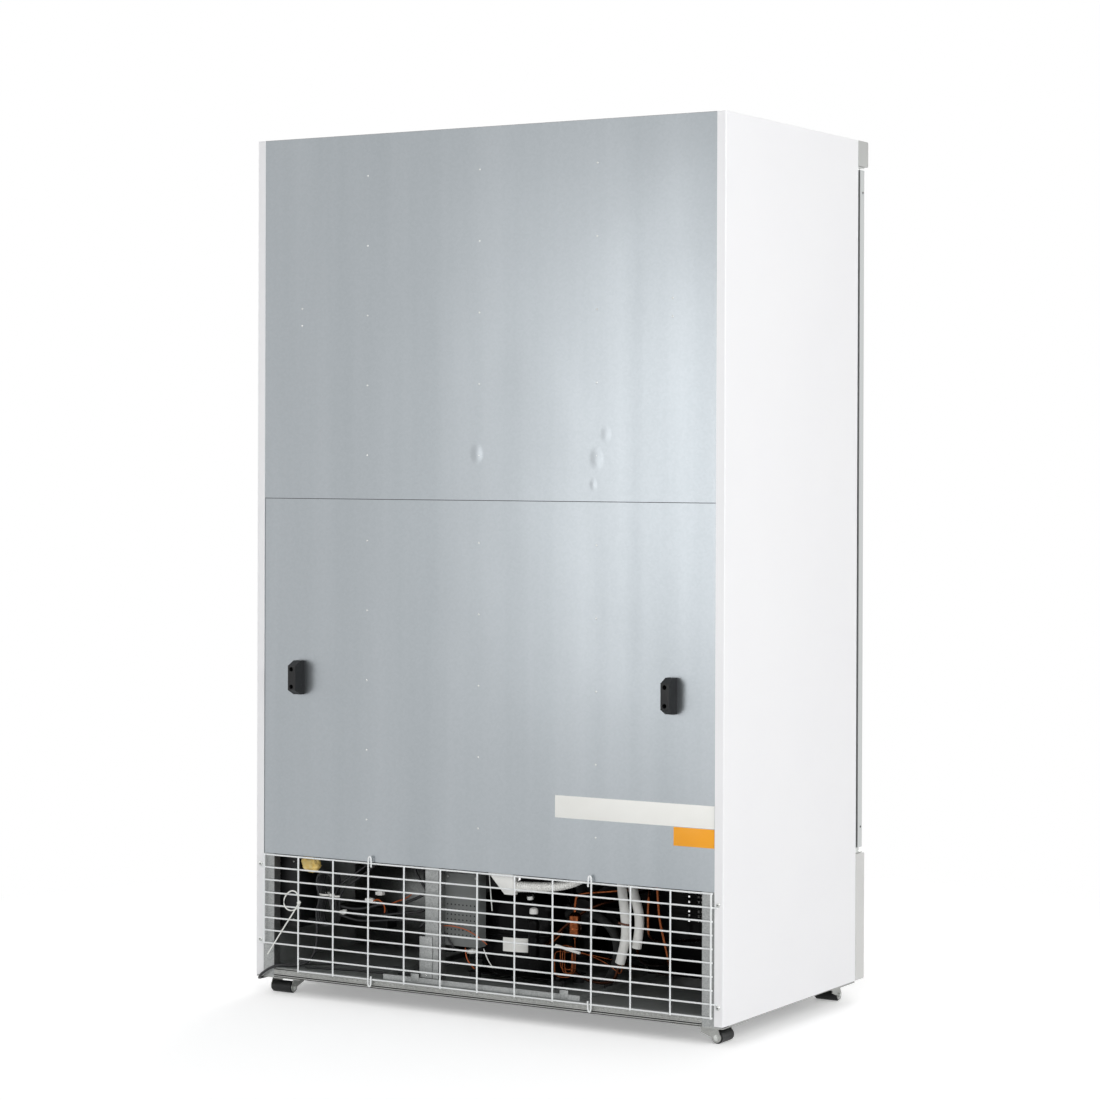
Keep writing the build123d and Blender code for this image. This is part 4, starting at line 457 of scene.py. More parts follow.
def turned(name, profile, place, axis=(0, 0, 1), steps=48):
    """A shape turned on a lathe from (radius, height) points, standing on a place along an axis."""
    stand = Matrix.Translation(place) @ upright_on(axis)
    rings = [[stand @ Vector((radius * math.cos(a), radius * math.sin(a), height)) for a in full_turn(steps)]
             for radius, height in profile]
    return ring_stack(name, rings, 30)


def smooth_route(name, points, swell=None):
    """A NURBS curve along a route of points, thicker where a function of their number says so."""
    line = bpy.data.curves.new(name, "CURVE")
    line.dimensions = "3D"
    line.use_fill_caps = True
    spline = line.splines.new("NURBS")
    spline.points.add(len(points) - 1)
    for index, (x, y, z) in enumerate(points):
        spline.points[index].co = (x * mm, y * mm, z * mm, 1.0)
        spline.points[index].radius = 1.0 if swell is None else swell(index)
    spline.order_u = 3
    spline.use_endpoint_u = True
    return line


def tube(name, points, radius, swell=None, sides=6):
    """A round tube along a route of points."""
    line = smooth_route(name, points, swell)
    line.resolution_u = 10
    line.bevel_depth = radius * mm
    line.bevel_resolution = sides
    return placed(name, line)


print("building blocks ready")

# %% [markdown]
# ## The mains lead first
# The lead is black PVC, 6.2 mm thick and about two metres long. It leaves the control box through a gland,
# is wound into a hank that hangs inside the guard, then runs over the edge of the floor and under the body
# to its plug. A hank is loops of one length, tied at the waist: each turn here has sixteen points, and
# small swells make the loops differ as a hand leaves them.

# %% Route of the lead
hank_x = 456.9
hank_z = 231.0
hank_first_y = 283.9
hank_pitch = 7.4
hank_turns = 5
hank_half_width = 22.0
hank_half_height = 59.0
hank_swell = 1.2
hank_outline = [
    (0.46, -1.05), (-0.46, -1.05), (-1.00, -0.86), (-1.04, -0.50), (-0.68, -0.12), (-0.68, 0.12),
    (-1.04, 0.50), (-1.00, 0.86), (-0.46, 1.05), (0.46, 1.05), (1.00, 0.86), (1.04, 0.50),
    (0.68, 0.12), (0.68, -0.12), (1.04, -0.50), (1.00, -0.86),
]
hank_climb = {0: -0.65, 1: -0.2}  # the share of a pitch by which a turn's first points come early


def hank_turn(turn):
    """Points of one loop of the hank."""
    low = hank_swell * (1 + math.sin(2.1 * turn)) / 2
    high = hank_swell * (1 + math.sin(1.3 * turn)) / 2
    loop = []
    for index, (across, along) in enumerate(hank_outline):
        spare = low if along < 0 else high
        loop.append((
            hank_x + across * (hank_half_width + spare),
            hank_first_y + (turn + hank_climb.get(index, 0.0)) * hank_pitch,
            hank_z + along * (hank_half_height + spare),
        ))
    return loop


lead_points = [(497.5, 276.5, 172.0), (490.0, 276.5, 172.0), (481.0, 276.5, 171.6)]
for turn in range(hank_turns):
    lead_points += hank_turn(turn)
lead_points = lead_points[:-1] + [
    (478.9, 313.5, 176), (478.9, 313.5, 159.6), (478.9, 313.5, 125.6), (484.9, 317.5, 98), (501, 319, 77),
    (524, 331, 69.8), (548, 342, 70), (566, 352, 70.6), (584, 363, 62), (602, 367, 49), (616, 359, 36.6),
    (624.2, 343, 33.6), (624.6, 318, 33.4), (623.6, 288, 33.4), (623.4, 250, 32.5), (623, 208, 27.5),
    (618, 164, 15), (603, 122, 4.6), (583, 92, 5), (566, 74, 12), (546, 66, 17.6), (526, 66, 17.6),
]
lead_diameter = 6.2
mains_lead = finished(tube("mains_lead", lead_points, lead_diameter / 2), lead_pvc)
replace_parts(mains_lead, "lead_hank", "power_lead")
print("lead points:", len(lead_points))

# %% Length of the lead
def meshed(line):
    """A curve as a mesh, with nothing left in the scene."""
    probe = placed("probe", line)
    bpy.context.view_layer.update()
    mesh = bpy.data.meshes.new_from_object(probe.evaluated_get(bpy.context.evaluated_depsgraph_get()))
    bpy.data.objects.remove(probe)
    return mesh


def route_length(piece):
    """Length of a tube's centre line, in metres."""
    bare = piece.data.copy()
    bare.bevel_depth = 0.0
    line = meshed(bare)
    length = sum((line.vertices[a].co - line.vertices[b].co).length for a, b in line.edge_keys)
    bpy.data.meshes.remove(line)
    return length


print("lead length", round(route_length(mains_lead), 3), "m")

# %% [markdown]
# ## Finishes for the pieces that keep their shape
# Most hard pieces are right as they are and only need their finish. The record says which finish each
# piece asks for, so one table joins its names to the materials above, and a short second table names the
# few pieces whose real finish differs from the rest of their kind.

# %% Dress the CAD pieces
finish_of_slot = {
    "white_coated_steel": white_coat, "galvanised_steel": frame_zinc, "insulating_foam": wall_foam,
    "grey_moulding": plinth_abs, "door_aluminium": door_alu, "door_glass": glass, "gasket_rubber": seal_pvc,
    "black_plastic": black_nylon, "black_enamel": shell_enamel, "mount_rubber": mount_rubber,
    "copper": copper, "foam_sleeve": sleeve_foam, "white_plastic": white_pp,
    "coil_aluminium": fin_aluminium, "zinc_hinge": zinc_plate, "cord_sheath": lead_pvc,
}
finish_of_node = {
    "back_panel_upper": back_zinc, "back_panel_lower": back_zinc, "electrical_box": box_paint,
    "base_frame": rail_zinc, "condenser_coil": shell_enamel, "fan_shroud": black_paint,
    "caster_plates": rail_zinc, "base_floor": floor_zinc, "compartment_walls": floor_zinc,
    "top_fascia": fascia_abs,
}
corners = ("rear_right", "rear_left", "front_right", "front_left")
finish_of_node.update({f"caster_yoke_{corner}": rail_zinc for corner in corners})
for subpart in frame["record"]["subparts"]:
    materials = nodes[subpart["node"]].data.materials
    materials.clear()
    materials.append(finish_of_node.get(subpart["node"], finish_of_slot[subpart["material_slot"]]))

# %% [markdown]
# Two pieces show a second finish on some of their faces. The foam slab under the room is closed by a black
# sheet, which is the ceiling of the compartment. Where the tray's lip faces the guard it gets the brighter
# frame zinc, a painted highlight where it catches the light; the rest of the floor keeps the darker zinc that
# lies in the dark and is dulled by dust.

# %% Underside of the slab, and painted highlight on the lip of the tray
def second_finish(node, finish, chosen):
    """Give the chosen faces of a CAD piece another material, and count them."""
    data = nodes[node].data
    data.materials.append(finish)
    faces = [face for face in data.polygons if chosen(face.center / mm, face.normal)]
    for face in faces:
        face.material_index = 1
    return len(faces)


slab_low = box_of("insulation")[0].z
tray_half = 265
tray_floor = 67
under = second_finish("insulation", black_paint, lambda middle, normal: middle.z < slab_low + 1)
# The lip faces get the brighter zinc as a painted highlight where they catch the light.
lip_highlight_faces = second_finish("base_floor", frame_zinc, lambda middle, normal: normal.y > 0.9
                    and middle.z > tray_floor and abs(middle.x) < tray_half)
print("black faces under the slab:", under, "faces on the lip:", lip_highlight_faces)

# %% [markdown]
# ## The guard
# A welded grid: ten rows lie against the flanges and thirteen uprights lie on the rows. Each crossing was
# pressed together hot, so a small nugget of metal stands round it under the coat. Two uprights bend over
# into hooks at both ends, which hang on the edge of the back sheet and on the rail.

# %% Wires of the guard
wire_radius = 2
row_y = box_of("wire_guard")[0].y + wire_radius
upright_y = row_y + 2 * wire_radius
guard_half = 600
guard_pitch = 100
hook_columns = (3, 9)
row_pitch = 30
first_row = 62
rows = 10
notch_rows = 2
notch_x = guard_half - guard_pitch
tail = 13
top_row = first_row + (rows - 1) * row_pitch
notch_z = first_row + notch_rows * row_pitch
nugget_radius = 2.7
shape = bmesh.new()
for row in range(rows):
    z = first_row + row * row_pitch
    low_x = -guard_half - (tail if row in (1, rows - 2) else wire_radius)
    high_x = notch_x if row < notch_rows else guard_half
    high_x += tail if row in (notch_rows, rows - 2) else wire_radius
    add_rod(shape, (low_x, row_y, z), (high_x, row_y, z), wire_radius, 14)
for column in range(13):
    x = -guard_half + column * guard_pitch
    low_z = notch_z if x > notch_x + wire_radius else first_row
    for row in range(rows):
        z = first_row + row * row_pitch
        if z > low_z - wire_radius:
            nugget = Matrix.Translation((x, (row_y + upright_y) / 2, z)) @ Matrix.Diagonal((1, 0.7, 1, 1))
            bmesh.ops.create_icosphere(shape, subdivisions=1, radius=nugget_radius, matrix=nugget)
    if column not in hook_columns:
        add_rod(shape, (x, upright_y, low_z - wire_radius), (x, upright_y, top_row + wire_radius),
                wire_radius, 14)
guard = finished(mesh_piece("guard_grid", shape, 50), wire_coat)
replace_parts(guard, "wire_guard")
print("guard has", len(guard.data.polygons), "faces")

# %% Hooked uprights
hook_width = 8.1
hook_reach = 16
hook_leg = 24
hook_bend = 6


def hooked_upright(name, x, way):
    """An upright that bends over towards the middle at both ends."""
    leg = x - way * hook_width
    inset = way * hook_width / 4
    low = first_row - hook_reach
    high = top_row + hook_reach
    bottom = [(leg, low + hook_leg), (leg, low + hook_bend), (leg + inset, low), (x - inset, low),
              (x, low + hook_bend), (x, low + hook_leg)]
    top = [(px, low + high - pz) for px, pz in reversed(bottom)]
    points = [(px, upright_y, pz) for px, pz in bottom + top]
    return finished(tube(name, points, wire_radius), wire_coat)


hooked_upright("guard_hook_right", 300, 1)
hooked_upright("guard_hook_left", -300, -1)
print("hooked uprights reach", hook_reach, "mm past the grid")

# %% [markdown]
# Four pan-head screws clamp the long wire ends on the side flanges. A pan head is a low dome on a short rim,
# and its cross recess is drawn as two crossed dark, narrow bars set into the dome: painted shade in the
# recess.

# %% Screws
def pan_screw(name, place, radius=5.2):
    """A pan-head screw, its cross recess drawn as dark bars of painted shade, its head standing out to the
    back from a place.
    """
    profile = [(radius, 0), (radius, 0.9), (radius * 0.9, 1.6), (radius * 0.6, 2.3), (radius * 0.25, 2.6)]
    head = finished(turned(name, profile, place, (0, 1, 0), 24), zinc_plate)
    long_side = radius * 0.5
    thin_side = radius * 0.11
    # The recess is two dark bars, painted shade where the slots of the cross would be.
    cross = bmesh.new()
    add_box(cross, (-long_side, -thin_side, 2.0), (long_side, thin_side, 2.68))
    add_box(cross, (-thin_side, -long_side, 2.0), (thin_side, long_side, 2.69))
    cross.transform(Matrix.Translation(place) @ upright_on((0, 1, 0)) @ Matrix.Rotation(0.5, 4, "Z"))
    finished(mesh_piece(name + "_recess_shade", cross), black_nylon)
    return head


def screw_row(name, places, y, radius=5.2):
    """Numbered screws at some places (x, z) on one face."""
    return [pan_screw(f"{name}_{index + 1}", (x, y, z), radius) for index, (x, z) in enumerate(places)]


back_y = box_of("side_panel_left")[1].y
screw_x = 614.5
screw_places = ((screw_x, 308.7), (-screw_x, 308.7), (screw_x, 128.7), (-screw_x, 85.3))
heads = screw_row("guard_screw", screw_places, back_y)
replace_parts(heads[0], "guard_screws")
print("guard screws:", len(heads))

# %% [markdown]
# Each caster's axle ends in a bright nut over a washer, outside both cheeks of the yoke. They turn with
# the yoke, so each pair rides on its own swivelling body. Small flush screws hold each hinge block inside
# the hollow door stile. They show on the door's outer edge, one near each end, and they turn with the door.

# %% Axle nuts of the casters
nut_reach = 32.6
nut_profile = [(6.4, -1.5), (6.4, -0.8), (4.6, -0.75), (4.6, 1.1), (3.9, 1.5), (1.6, 1.5)]
for corner in corners:
    low, high = box_of(f"caster_roller_{corner}")
    for end, side in (("outer", 1), ("inner", -1)):
        axis = Vector((0, side, 0) if corner == "rear_left" else (side, 0, 0))
        nut = turned(f"axle_nut_{corner}_{end}", nut_profile, (low + high) / 2 + axis * nut_reach, axis, 24)
        finished(nut, zinc_plate, f"caster_swivel_{corner}")
print("axle nuts:", 2 * len(corners))

# %% Hinge screws of the doors
hinge_screw_profile = [(2.6, -0.6), (2.6, 0.4), (1.8, 0.6), (0.7, 0.6)]
for door, side in (("left", -1), ("right", 1)):
    low, high = box_of(f"door_frame_{door}")
    x = low.x if side < 0 else high.x
    y = low.y + 0.4 * (high.y - low.y)
    for row, z in (("upper", 1908), ("lower", 405)):
        screw = turned(f"hinge_screw_{door}_{row}", hinge_screw_profile, (x, y, z), (side, 0, 0), 16)
        finished(screw, black_nylon, f"door_{door}")
print("hinge screws stand at y", round(y), "mm")

# %% [markdown]
# ## The back sheets
# Two galvanised sheets meet in a lap seam: the upper one's edge stands a sheet's thickness proud. Foaming
# presses the sheet against stray studs inside, which leaves a few shallow swellings that catch the light.

# %% Dents on the back
sheet_y = box_of("back_panel_upper")[1].y
lower_y = box_of("back_panel_lower")[1].y
seam_z = box_of("back_panel_upper")[0].z
dents = [(9, 1286, 19, 1.0), (-306, 1276, 20, 0.9), (-298, 1218, 11, 0.5), (-330, 1330, 16, 0.5)]
dent_stretch = 1.5
dent_edge = 0.02


def on_sheet(x, z):
    """A place on the outside of the back, on the sheet that lies at that height."""
    return Vector((x, sheet_y if z > seam_z else lower_y, z))


for index, (x, z, radius, height) in enumerate(dents):
    shares = [1 - step / 10 for step in range(10)] + [dent_edge]
    swell = [(share * radius, dent_edge + height * (1 + math.cos(math.pi * share)) / 2) for share in shares]
    dent = turned(f"sheet_dent_{index + 1}", swell, on_sheet(x, z), (0, 1, 0), 40)
    reshape(dent, lambda point: Vector((point.x, point.y, z + (point.z - z) * dent_stretch)))
    finished(dent, back_zinc)
print("dents:", len(dents))

# %% [markdown]
# Blind rivets hold the sheets to the stiffeners under the foam: three columns, five to a sheet, and a pair at
# each upper corner. Their flat heads are hardly wider than a match head, so each is a bright speck. A dark
# line runs along the lap: a grey rod a millimetre or two high, painted shadow under the upper sheet's edge.
# It's what makes the seam show from a distance.

# %% Rivets and seam of the back
rivet_columns = (-306, 3, 311)
rivet_tops = (1932, 1083)
rivet_pitch = 162.5
rivets = [on_sheet(x, top - row * rivet_pitch)
          for x in rivet_columns for top in rivet_tops for row in range(5)]
rivets += [on_sheet(x, z) for x in (-497, 498) for z in (1627, 1587)]
shape = bmesh.new()
add_grains(shape, rivets, 2.4, (1.0, 0.45, 1.0))
finished(mesh_piece("back_rivets", shape), zinc_plate)
# The dark line along the seam is painted shadow: a grey rod under the upper sheet's lap.
seam_shadow_reach = box_of("back_panel_upper")[1].x - 3
seam_shadow_and_bead_z = seam_z - 0.4
shape = bmesh.new()
add_rod(shape, (-seam_shadow_reach, lower_y, seam_shadow_and_bead_z), (seam_shadow_reach, lower_y, seam_shadow_and_bead_z), 1.1, 12)
finished(mesh_piece("seam_painted_shadow", shape), seal_pvc)
print("rivets:", len(rivets), "seam at", round(seam_z), "mm")

# %% [markdown]
# Two vinyl labels are stuck low on the back, where the wall hides them once the cabinet stands in its
# place: a long white strip and a short orange one. They are plain. Each is a thin box, a quarter of a
# millimetre proud of the sheet.

# %% Plain labels
label_white = varied_material("vinyl_label_white", "#F7F7F3", "#EFEFEA", (0.35, 0.45), (60, 3, 0.02))
label_orange = varied_material("vinyl_label_orange", "#FDAD1A", "#F6A213", (0.35, 0.45), (60, 3, 0.02))
labels = {
    "bare_label_white": (-201, 472, 522, label_white),
    "bare_label_orange": (-503, 430, 471, label_orange),
}
label_left = -604
label_thickness = 0.25
for name, (high_x, low_z, high_z, vinyl) in labels.items():
    shape = bmesh.new()
    add_box(shape, (label_left, lower_y, low_z), (high_x, lower_y + label_thickness, high_z), 0.1)
    finished(mesh_piece(name, shape), vinyl)
print("plain labels:", len(labels))

# %% [markdown]
# The rail under the guard is a rolled channel: three ribs and a row of pressed beads stiffen its web, and the
# dark lines beside the ribs are painted shade in its grooves. A plate is screwed to the foot of the centre
# post, and two tabs on the tray's lip hold it down.

# %% Ribs on the rail, and painted shade in its grooves
rail_x = box_of("rear_posts")[1].x - 50
rail_y = back_y - 1.0
groove_shade_y = rail_y + 0.2
bead_pitch = 15
seam_shadow_and_bead_z = 54
shape = bmesh.new()
for z in (44.6, 49.4, 58.6):
    add_rod(shape, (-rail_x, rail_y, z), (rail_x, rail_y, z), 1.5, 12)
for index in range(int(2 * rail_x / bead_pitch)):
    bead = Matrix.Translation((-rail_x + (index + 0.5) * bead_pitch, rail_y, seam_shadow_and_bead_z))
    bead @= Matrix.Diagonal((5.6, 1.9, 1.8, 1.0))
    bmesh.ops.create_icosphere(shape, subdivisions=2, radius=1, matrix=bead)
finished(mesh_piece("rail_ribs", shape), rail_zinc)
# Dark lines between the ribs: thin black rods a fifth of a millimetre proud of the web, painted shade in the
# grooves.
shape = bmesh.new()
for z in (42.6, 47.0, 61.0):
    add_rod(shape, (-rail_x, groove_shade_y, z), (rail_x, groove_shade_y, z), 1.0, 10)
finished(mesh_piece("rail_groove_shade", shape), black_paint)
print("the rail's web is", round(2 * rail_x), "mm long")

# %% Foot plate of the post, tabs of the tray
post_y = 344.6
plate_y = post_y + 1.5
tab_half = 11
shape = bmesh.new()
add_box(shape, (131, post_y, 68), (166, plate_y, 173), 0.4)
for x in (-224, 176):
    add_box(shape, (x - tab_half, post_y + 4.2, 67), (x + tab_half, post_y + 5.6, 86), 0.4)
finished(mesh_piece("post_plate_and_tabs", shape), frame_zinc)
pan_screw("post_plate_screw", (148, plate_y, 84), 3.5)
print("post plate at y", round(plate_y), "mm")

# %% [markdown]
# ## The compressor
# A welded pot: a deep-drawn bowl and lid, lapped and seamed all round, dipped in black enamel. An oval
# outline that swells to a dome is easiest as rings of points, each an ellipse whose inset and height
# follow the quarter circles at the bottom and the top.

# %% Shell of the compressor
pot_x = -33
pot_y = 196.5
pot_foot = 87.4
pot_half_length = 109
pot_half_width = 89
pot_height = 192
bowl = 22
dome = 42
seam_height = 95
seam_lap = [(-3, 0), (-2, -2.6), (-0.5, -3.5), (2, -3.5), (3.5, -2.6), (5, 0)]


def on_pot(angle, proud, height):
    """A point on the shell's oval, proud of its wall by some millimetres."""
    return (pot_x + (pot_half_length + proud) * math.cos(angle),
            pot_y + (pot_half_width + proud) * math.sin(angle), height)


def pot_rings():
    """Height and inset of each ring of the shell, from the bowl up to the dome."""
    leans = [math.radians(90 * step / 8) for step in range(9)]
    rings = [(bowl * (1 - math.cos(lean)), bowl * (1 - math.sin(lean))) for lean in leans]
    rings += [(seam_height + height, inset) for height, inset in seam_lap]
    leans = [math.radians(88 * step / 12) for step in range(13)]
    return rings + [(pot_height - dome * (1 - math.sin(lean)), dome * (1 - math.cos(lean))) for lean in leans]


pot = ring_stack("compressor_shell", [[on_pot(angle, -inset, pot_foot + height) for angle in full_turn(96)]
                                      for height, inset in pot_rings()], 60)
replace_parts(finished(pot, shell_enamel), "compressor")
print("shell rings:", len(pot_rings()))

# %% [markdown]
# A suction accumulator, a black can of the size of a fist, stands at the shell's shoulder. Its stub ends in
# a white cap, and the clip of the drain hose sits just above it.

# %% Accumulator with its cap
can_place = Vector((-104, 283, 138))
can_profile = [(2, 0), (9, 1), (12.5, 5), (13, 9), (13, 44), (12.2, 46), (12.2, 48), (13, 50), (13, 60),
               (12.2, 62), (12.2, 64), (13, 66), (13, 78), (12, 84), (8, 89), (4, 91), (4, 102)]
finished(turned("suction_accumulator", can_profile, can_place), shell_enamel)
cap_profile = [(5, 0), (9.5, 0.5), (10, 3), (10, 9), (8.6, 12.5), (5, 14.6), (0.8, 15.2)]
cap_place = can_place + Vector((0, 0, 100))
finished(turned("accumulator_cap", cap_profile, cap_place), white_pp)
shape = bmesh.new()
add_rod(shape, (-104, 296, 276), (-104, 299, 283), (9.5, 8), 24)
finished(mesh_piece("drain_clip", shape), zinc_plate)
print("accumulator cap at", cap_place.z, "mm")

# %% Foot plate and terminal cover
foot_half_x = 125
foot_half_y = 60
cover_half = 28
cover_x = pot_x + pot_half_length
cover_foot = pot_foot + bowl
shape = bmesh.new()
add_box(shape, (pot_x - foot_half_x, pot_y - foot_half_y, pot_foot - 3),
        (pot_x + foot_half_x, pot_y + foot_half_y, pot_foot), 1.0)
finished(mesh_piece("compressor_foot_plate", shape), shell_enamel)
shape = bmesh.new()
add_box(shape, (cover_x - 12, pot_y - cover_half, cover_foot),
        (cover_x + 34, pot_y + cover_half, cover_foot + 56), 4)
finished(mesh_piece("compressor_terminal_cover", shape), black_nylon)
print("terminal cover at x", cover_x, "mm")

# %% [markdown]
# A small foil plate sits on the shell. It follows the curve of the pot, so it is a strip of faces bent onto
# the same ellipse, half a millimetre proud. It is plain.

# %% Plain foil plate on the shell
plate_first, plate_last = math.radians(85), math.radians(121)
plate_low, plate_high = 147, 179
plate_steps = 12
shape = bmesh.new()
columns = []
for step in range(plate_steps + 1):
    angle = plate_first + (plate_last - plate_first) * step / plate_steps
    columns.append([shape.verts.new(on_pot(angle, proud, z)) for proud in (0.1, 0.6)
                    for z in (plate_low, plate_high)])
for a, b in zip(columns, columns[1:]):
    for face in ((a[2], b[2], b[3], a[3]), (a[0], a[1], b[1], b[0]), (a[1], a[3], b[3], b[1]),
                 (a[0], b[0], b[2], a[2])):
        shape.faces.new(face)
for end in (columns[0], columns[-1]):
    shape.faces.new((end[0], end[1], end[3], end[2]))
finished(mesh_piece("bare_rating_plate", shape, 20), label_white)
print("foil plate", plate_high - plate_low, "mm high")

# %% [markdown]
# ## Copper work
# The tubes were bent by hand from soft copper. Their routes are lists of the places where they turn; the
# curve between them is smooth, as a hand bend is. The heat of brazing browned the ones at the compressor.
# The filter drier is a copper can spun down to the tube at both ends, with two clamped rings.

# %% Copper tubes
bright_tubes = ("liquid_tube", "return_tube", "process_tube")
copper_routes = {
    "discharge_tube": (4, [(-112, 250, 158), (-150, 245.5, 198), (-193, 233.5, 236), (-235, 227.5, 262),
                           (-278, 179.5, 274), (-282, 60, 280.4), (-262, -180.5, 281.4),
                           (-250, -220.5, 280.4), (-218, -220.5, 280.4)]),
    "liquid_tube": (3, [(-218, -220.5, 150.4), (-280, -220.5, 150.4), (-400, -40, 160.4), (-400, 210, 190.4),
                        (-398, 272, 205), (-399, 278.5, 240), (-400, 278.5, 296), (-396, 262, 318),
                        (-366, 250, 313), (-320, 256, 305), (-262, 266, 298), (-222, 272, 293),
                        (-208, 274.5, 284), (-208, 274.5, 248)]),
    "return_tube": (3.3, [(-422, 278.5, 334.5), (-426, 278.5, 262), (-436, 277.5, 220), (-448, 276.5, 172),
                          (-440, 244.5, 120), (-330, 110, 100), (-200, 60, 106), (-110, 90, 124),
                          (-75, 140, 132)]),
    "suction_tail": (4, [(-331, 281.5, 156), (-321.2, 281.5, 108.8), (-283, 263.5, 92), (-215, 242.5, 92),
                         (-165, 220, 112), (-112, 205, 122)]),
    "heater_tail": (4, [(-367, 266.5, 190), (-360.3, 266.5, 145.4), (-330, 60, 108.4), (-266, -170.5, 109.4),
                        (-250, -220.5, 108.4), (-218, -220.5, 108.4)]),
    "process_tube": (3, [(-108, 256, 162), (-138, 262.5, 172), (-158, 265, 186), (-172, 268.5, 200)]),
}
for name, (radius, route) in copper_routes.items():
    finished(tube(name, route, radius), copper if name in bright_tubes else brown_copper)
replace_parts(bpy.data.objects["discharge_tube"], "copper_tubes")
print("copper tubes:", len(copper_routes))

# %% [markdown]
# The capillary is a metre of hair-thin copper that throttles the refrigerant. It is wound into an upright
# hank under the drier: each turn has twelve points here and its own size, because nothing holds the turns
# apart. Its way to the suction tube leaves the hank along the top, held there in a short white sleeve.

# %% Capillary hank
cap_first_y = 274.5
cap_pitch = 4.6
cap_turn = [(0, 0.86, 0), (0, 0.5, 0), (0, 0.14, 0), (0.12, 0.02, 0.1), (0.5, -0.02, 0.5), (0.88, 0.02, 0.9),
            (1, 0.14, 1), (1, 0.5, 1), (1, 0.86, 1), (0.88, 0.98, 1), (0.5, 1.02, 1), (0.12, 0.98, 1)]
cap_sizes = [(-208, -184, 118, 168), (-212, -187, 111, 172), (-205, -163, 102, 160), (-210, -181, 121, 175),
             (-214, -189, 114, 165)]
cap_points = [(-208, cap_first_y, 190), (-208, cap_first_y, 176)]
for turn, (left, right, low, high) in enumerate(cap_sizes):
    for across, along, climb in cap_turn:
        cap_points.append((left + (right - left) * across, cap_first_y + (turn + climb) * cap_pitch,
                           low + (high - low) * along))
cap_points = cap_points[:-1] + [(-232, 296, 166), (-285, 288, 150), (-317, 283, 131), (-328, 281.5, 121),
                                (-335, 281.5, 130), (-337, 281.5, 144)]
capillary = finished(tube("capillary_tube", cap_points, 1.15, sides=4), copper)
sleeve_route = [(-172, 299, 174.5), (-190, 300, 171.5), (-212, 300.5, 167), (-236, 300, 163)]
finished(tube("capillary_sleeve", sleeve_route, 3.4), tie_nylon)
print("capillary length", round(route_length(capillary), 2), "m")

# %% Filter drier
drier_foot = (-208, 274.5, 189)
drier_profile = [(3.4, 0), (3.8, 2), (7, 5), (12, 8), (14, 11), (14, 20), (14.3, 21), (14.3, 23), (14, 24),
                 (14, 40), (14.3, 41), (14.3, 43), (14, 44), (14, 53), (12, 56), (7, 59.5), (3.8, 61.5),
                 (3.4, 63)]
drier = finished(turned("filter_drier_can", drier_profile, drier_foot), copper)
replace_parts(drier, "filter_drier")
print("drier stands", drier_foot[2], "mm up")

# %% [markdown]
# ## Insulated tubes, hose and drain
# White foam sleeves are slid over the suction tubes and held with a brown tie. They are soft, so their
# thickness wanders a little. The drain hose is a ribbed polypropylene bellows: rings of two sizes along
# its line. It comes down from the ceiling, bends over and runs sideways into a white cup.

# %% Foam sleeves
def uneven(index):
    """A gentle swell along a foam sleeve."""
    return 1.0 + 0.035 * math.sin(2.3 * index)


sleeve_routes = {
    "foam_sleeve_front": (10.8, sleeve_foam, [
        (-332, 281.5, 334.5), (-334, 281.5, 312), (-337, 281.5, 289), (-342, 281.5, 255), (-345, 281.5, 222),
        (-341, 281.5, 186), (-329, 281.5, 146)]),
    "foam_sleeve_rear": (10.8, sleeve_foam, [
        (-350, 266.5, 334.5), (-352, 266.5, 318), (-358, 266.5, 298), (-367, 266.5, 270), (-371, 266.5, 244),
        (-369, 266.5, 214), (-363, 266.5, 181)]),
    "insulated_hose_black": (10, hose_foam, [
        (-120, 193, 226), (-178, 204.5, 238), (-232, 216.5, 238), (-280, 222.5, 208), (-293, 222.5, 160),
        (-272, 210.5, 112), (-250, 192, 92), (-246, 190.5, 66.6)]),
}
for name, (radius, foam, route) in sleeve_routes.items():
    finished(tube(name, route, radius, uneven), foam)
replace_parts(bpy.data.objects["foam_sleeve_front"], "insulated_tubes")
print("sleeves:", len(sleeve_routes))

# %% Ribbed drain hose
drain_start = Vector((-82, 334, 305))
drain_length = 192
drain_narrows = 0.25
deck_z = slab_low - 0.2
rib_pitch = 6
rib_count = int(drain_length / rib_pitch)
rib_profile = [(11.5, 0.0)]
for rib in range(rib_count):
    for share, radius in ((0.08, 9.4), (0.3, 12.0), (0.5, 12.5), (0.7, 12.0), (0.92, 9.4)):
        rib_profile.append((radius, (rib + share) * rib_pitch))


def drain_bend(point):
    """Narrow the hose along its run and lift its far end, flat against the ceiling."""
    share = (drain_start.x - point.x) / drain_length
    narrow = 1 - drain_narrows * share
    z = drain_start.z + (point.z - drain_start.z) * narrow + 10 * share + 26 * share ** 4
    return Vector((point.x, drain_start.y + (point.y - drain_start.y) * narrow, min(z, deck_z)))


drain_hose = reshape(turned("drain_hose_ribbed", rib_profile, drain_start, (-1, 0, 0), 32), drain_bend)
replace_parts(finished(drain_hose, white_pp), "drain_hose")
print("ribs:", rib_count)

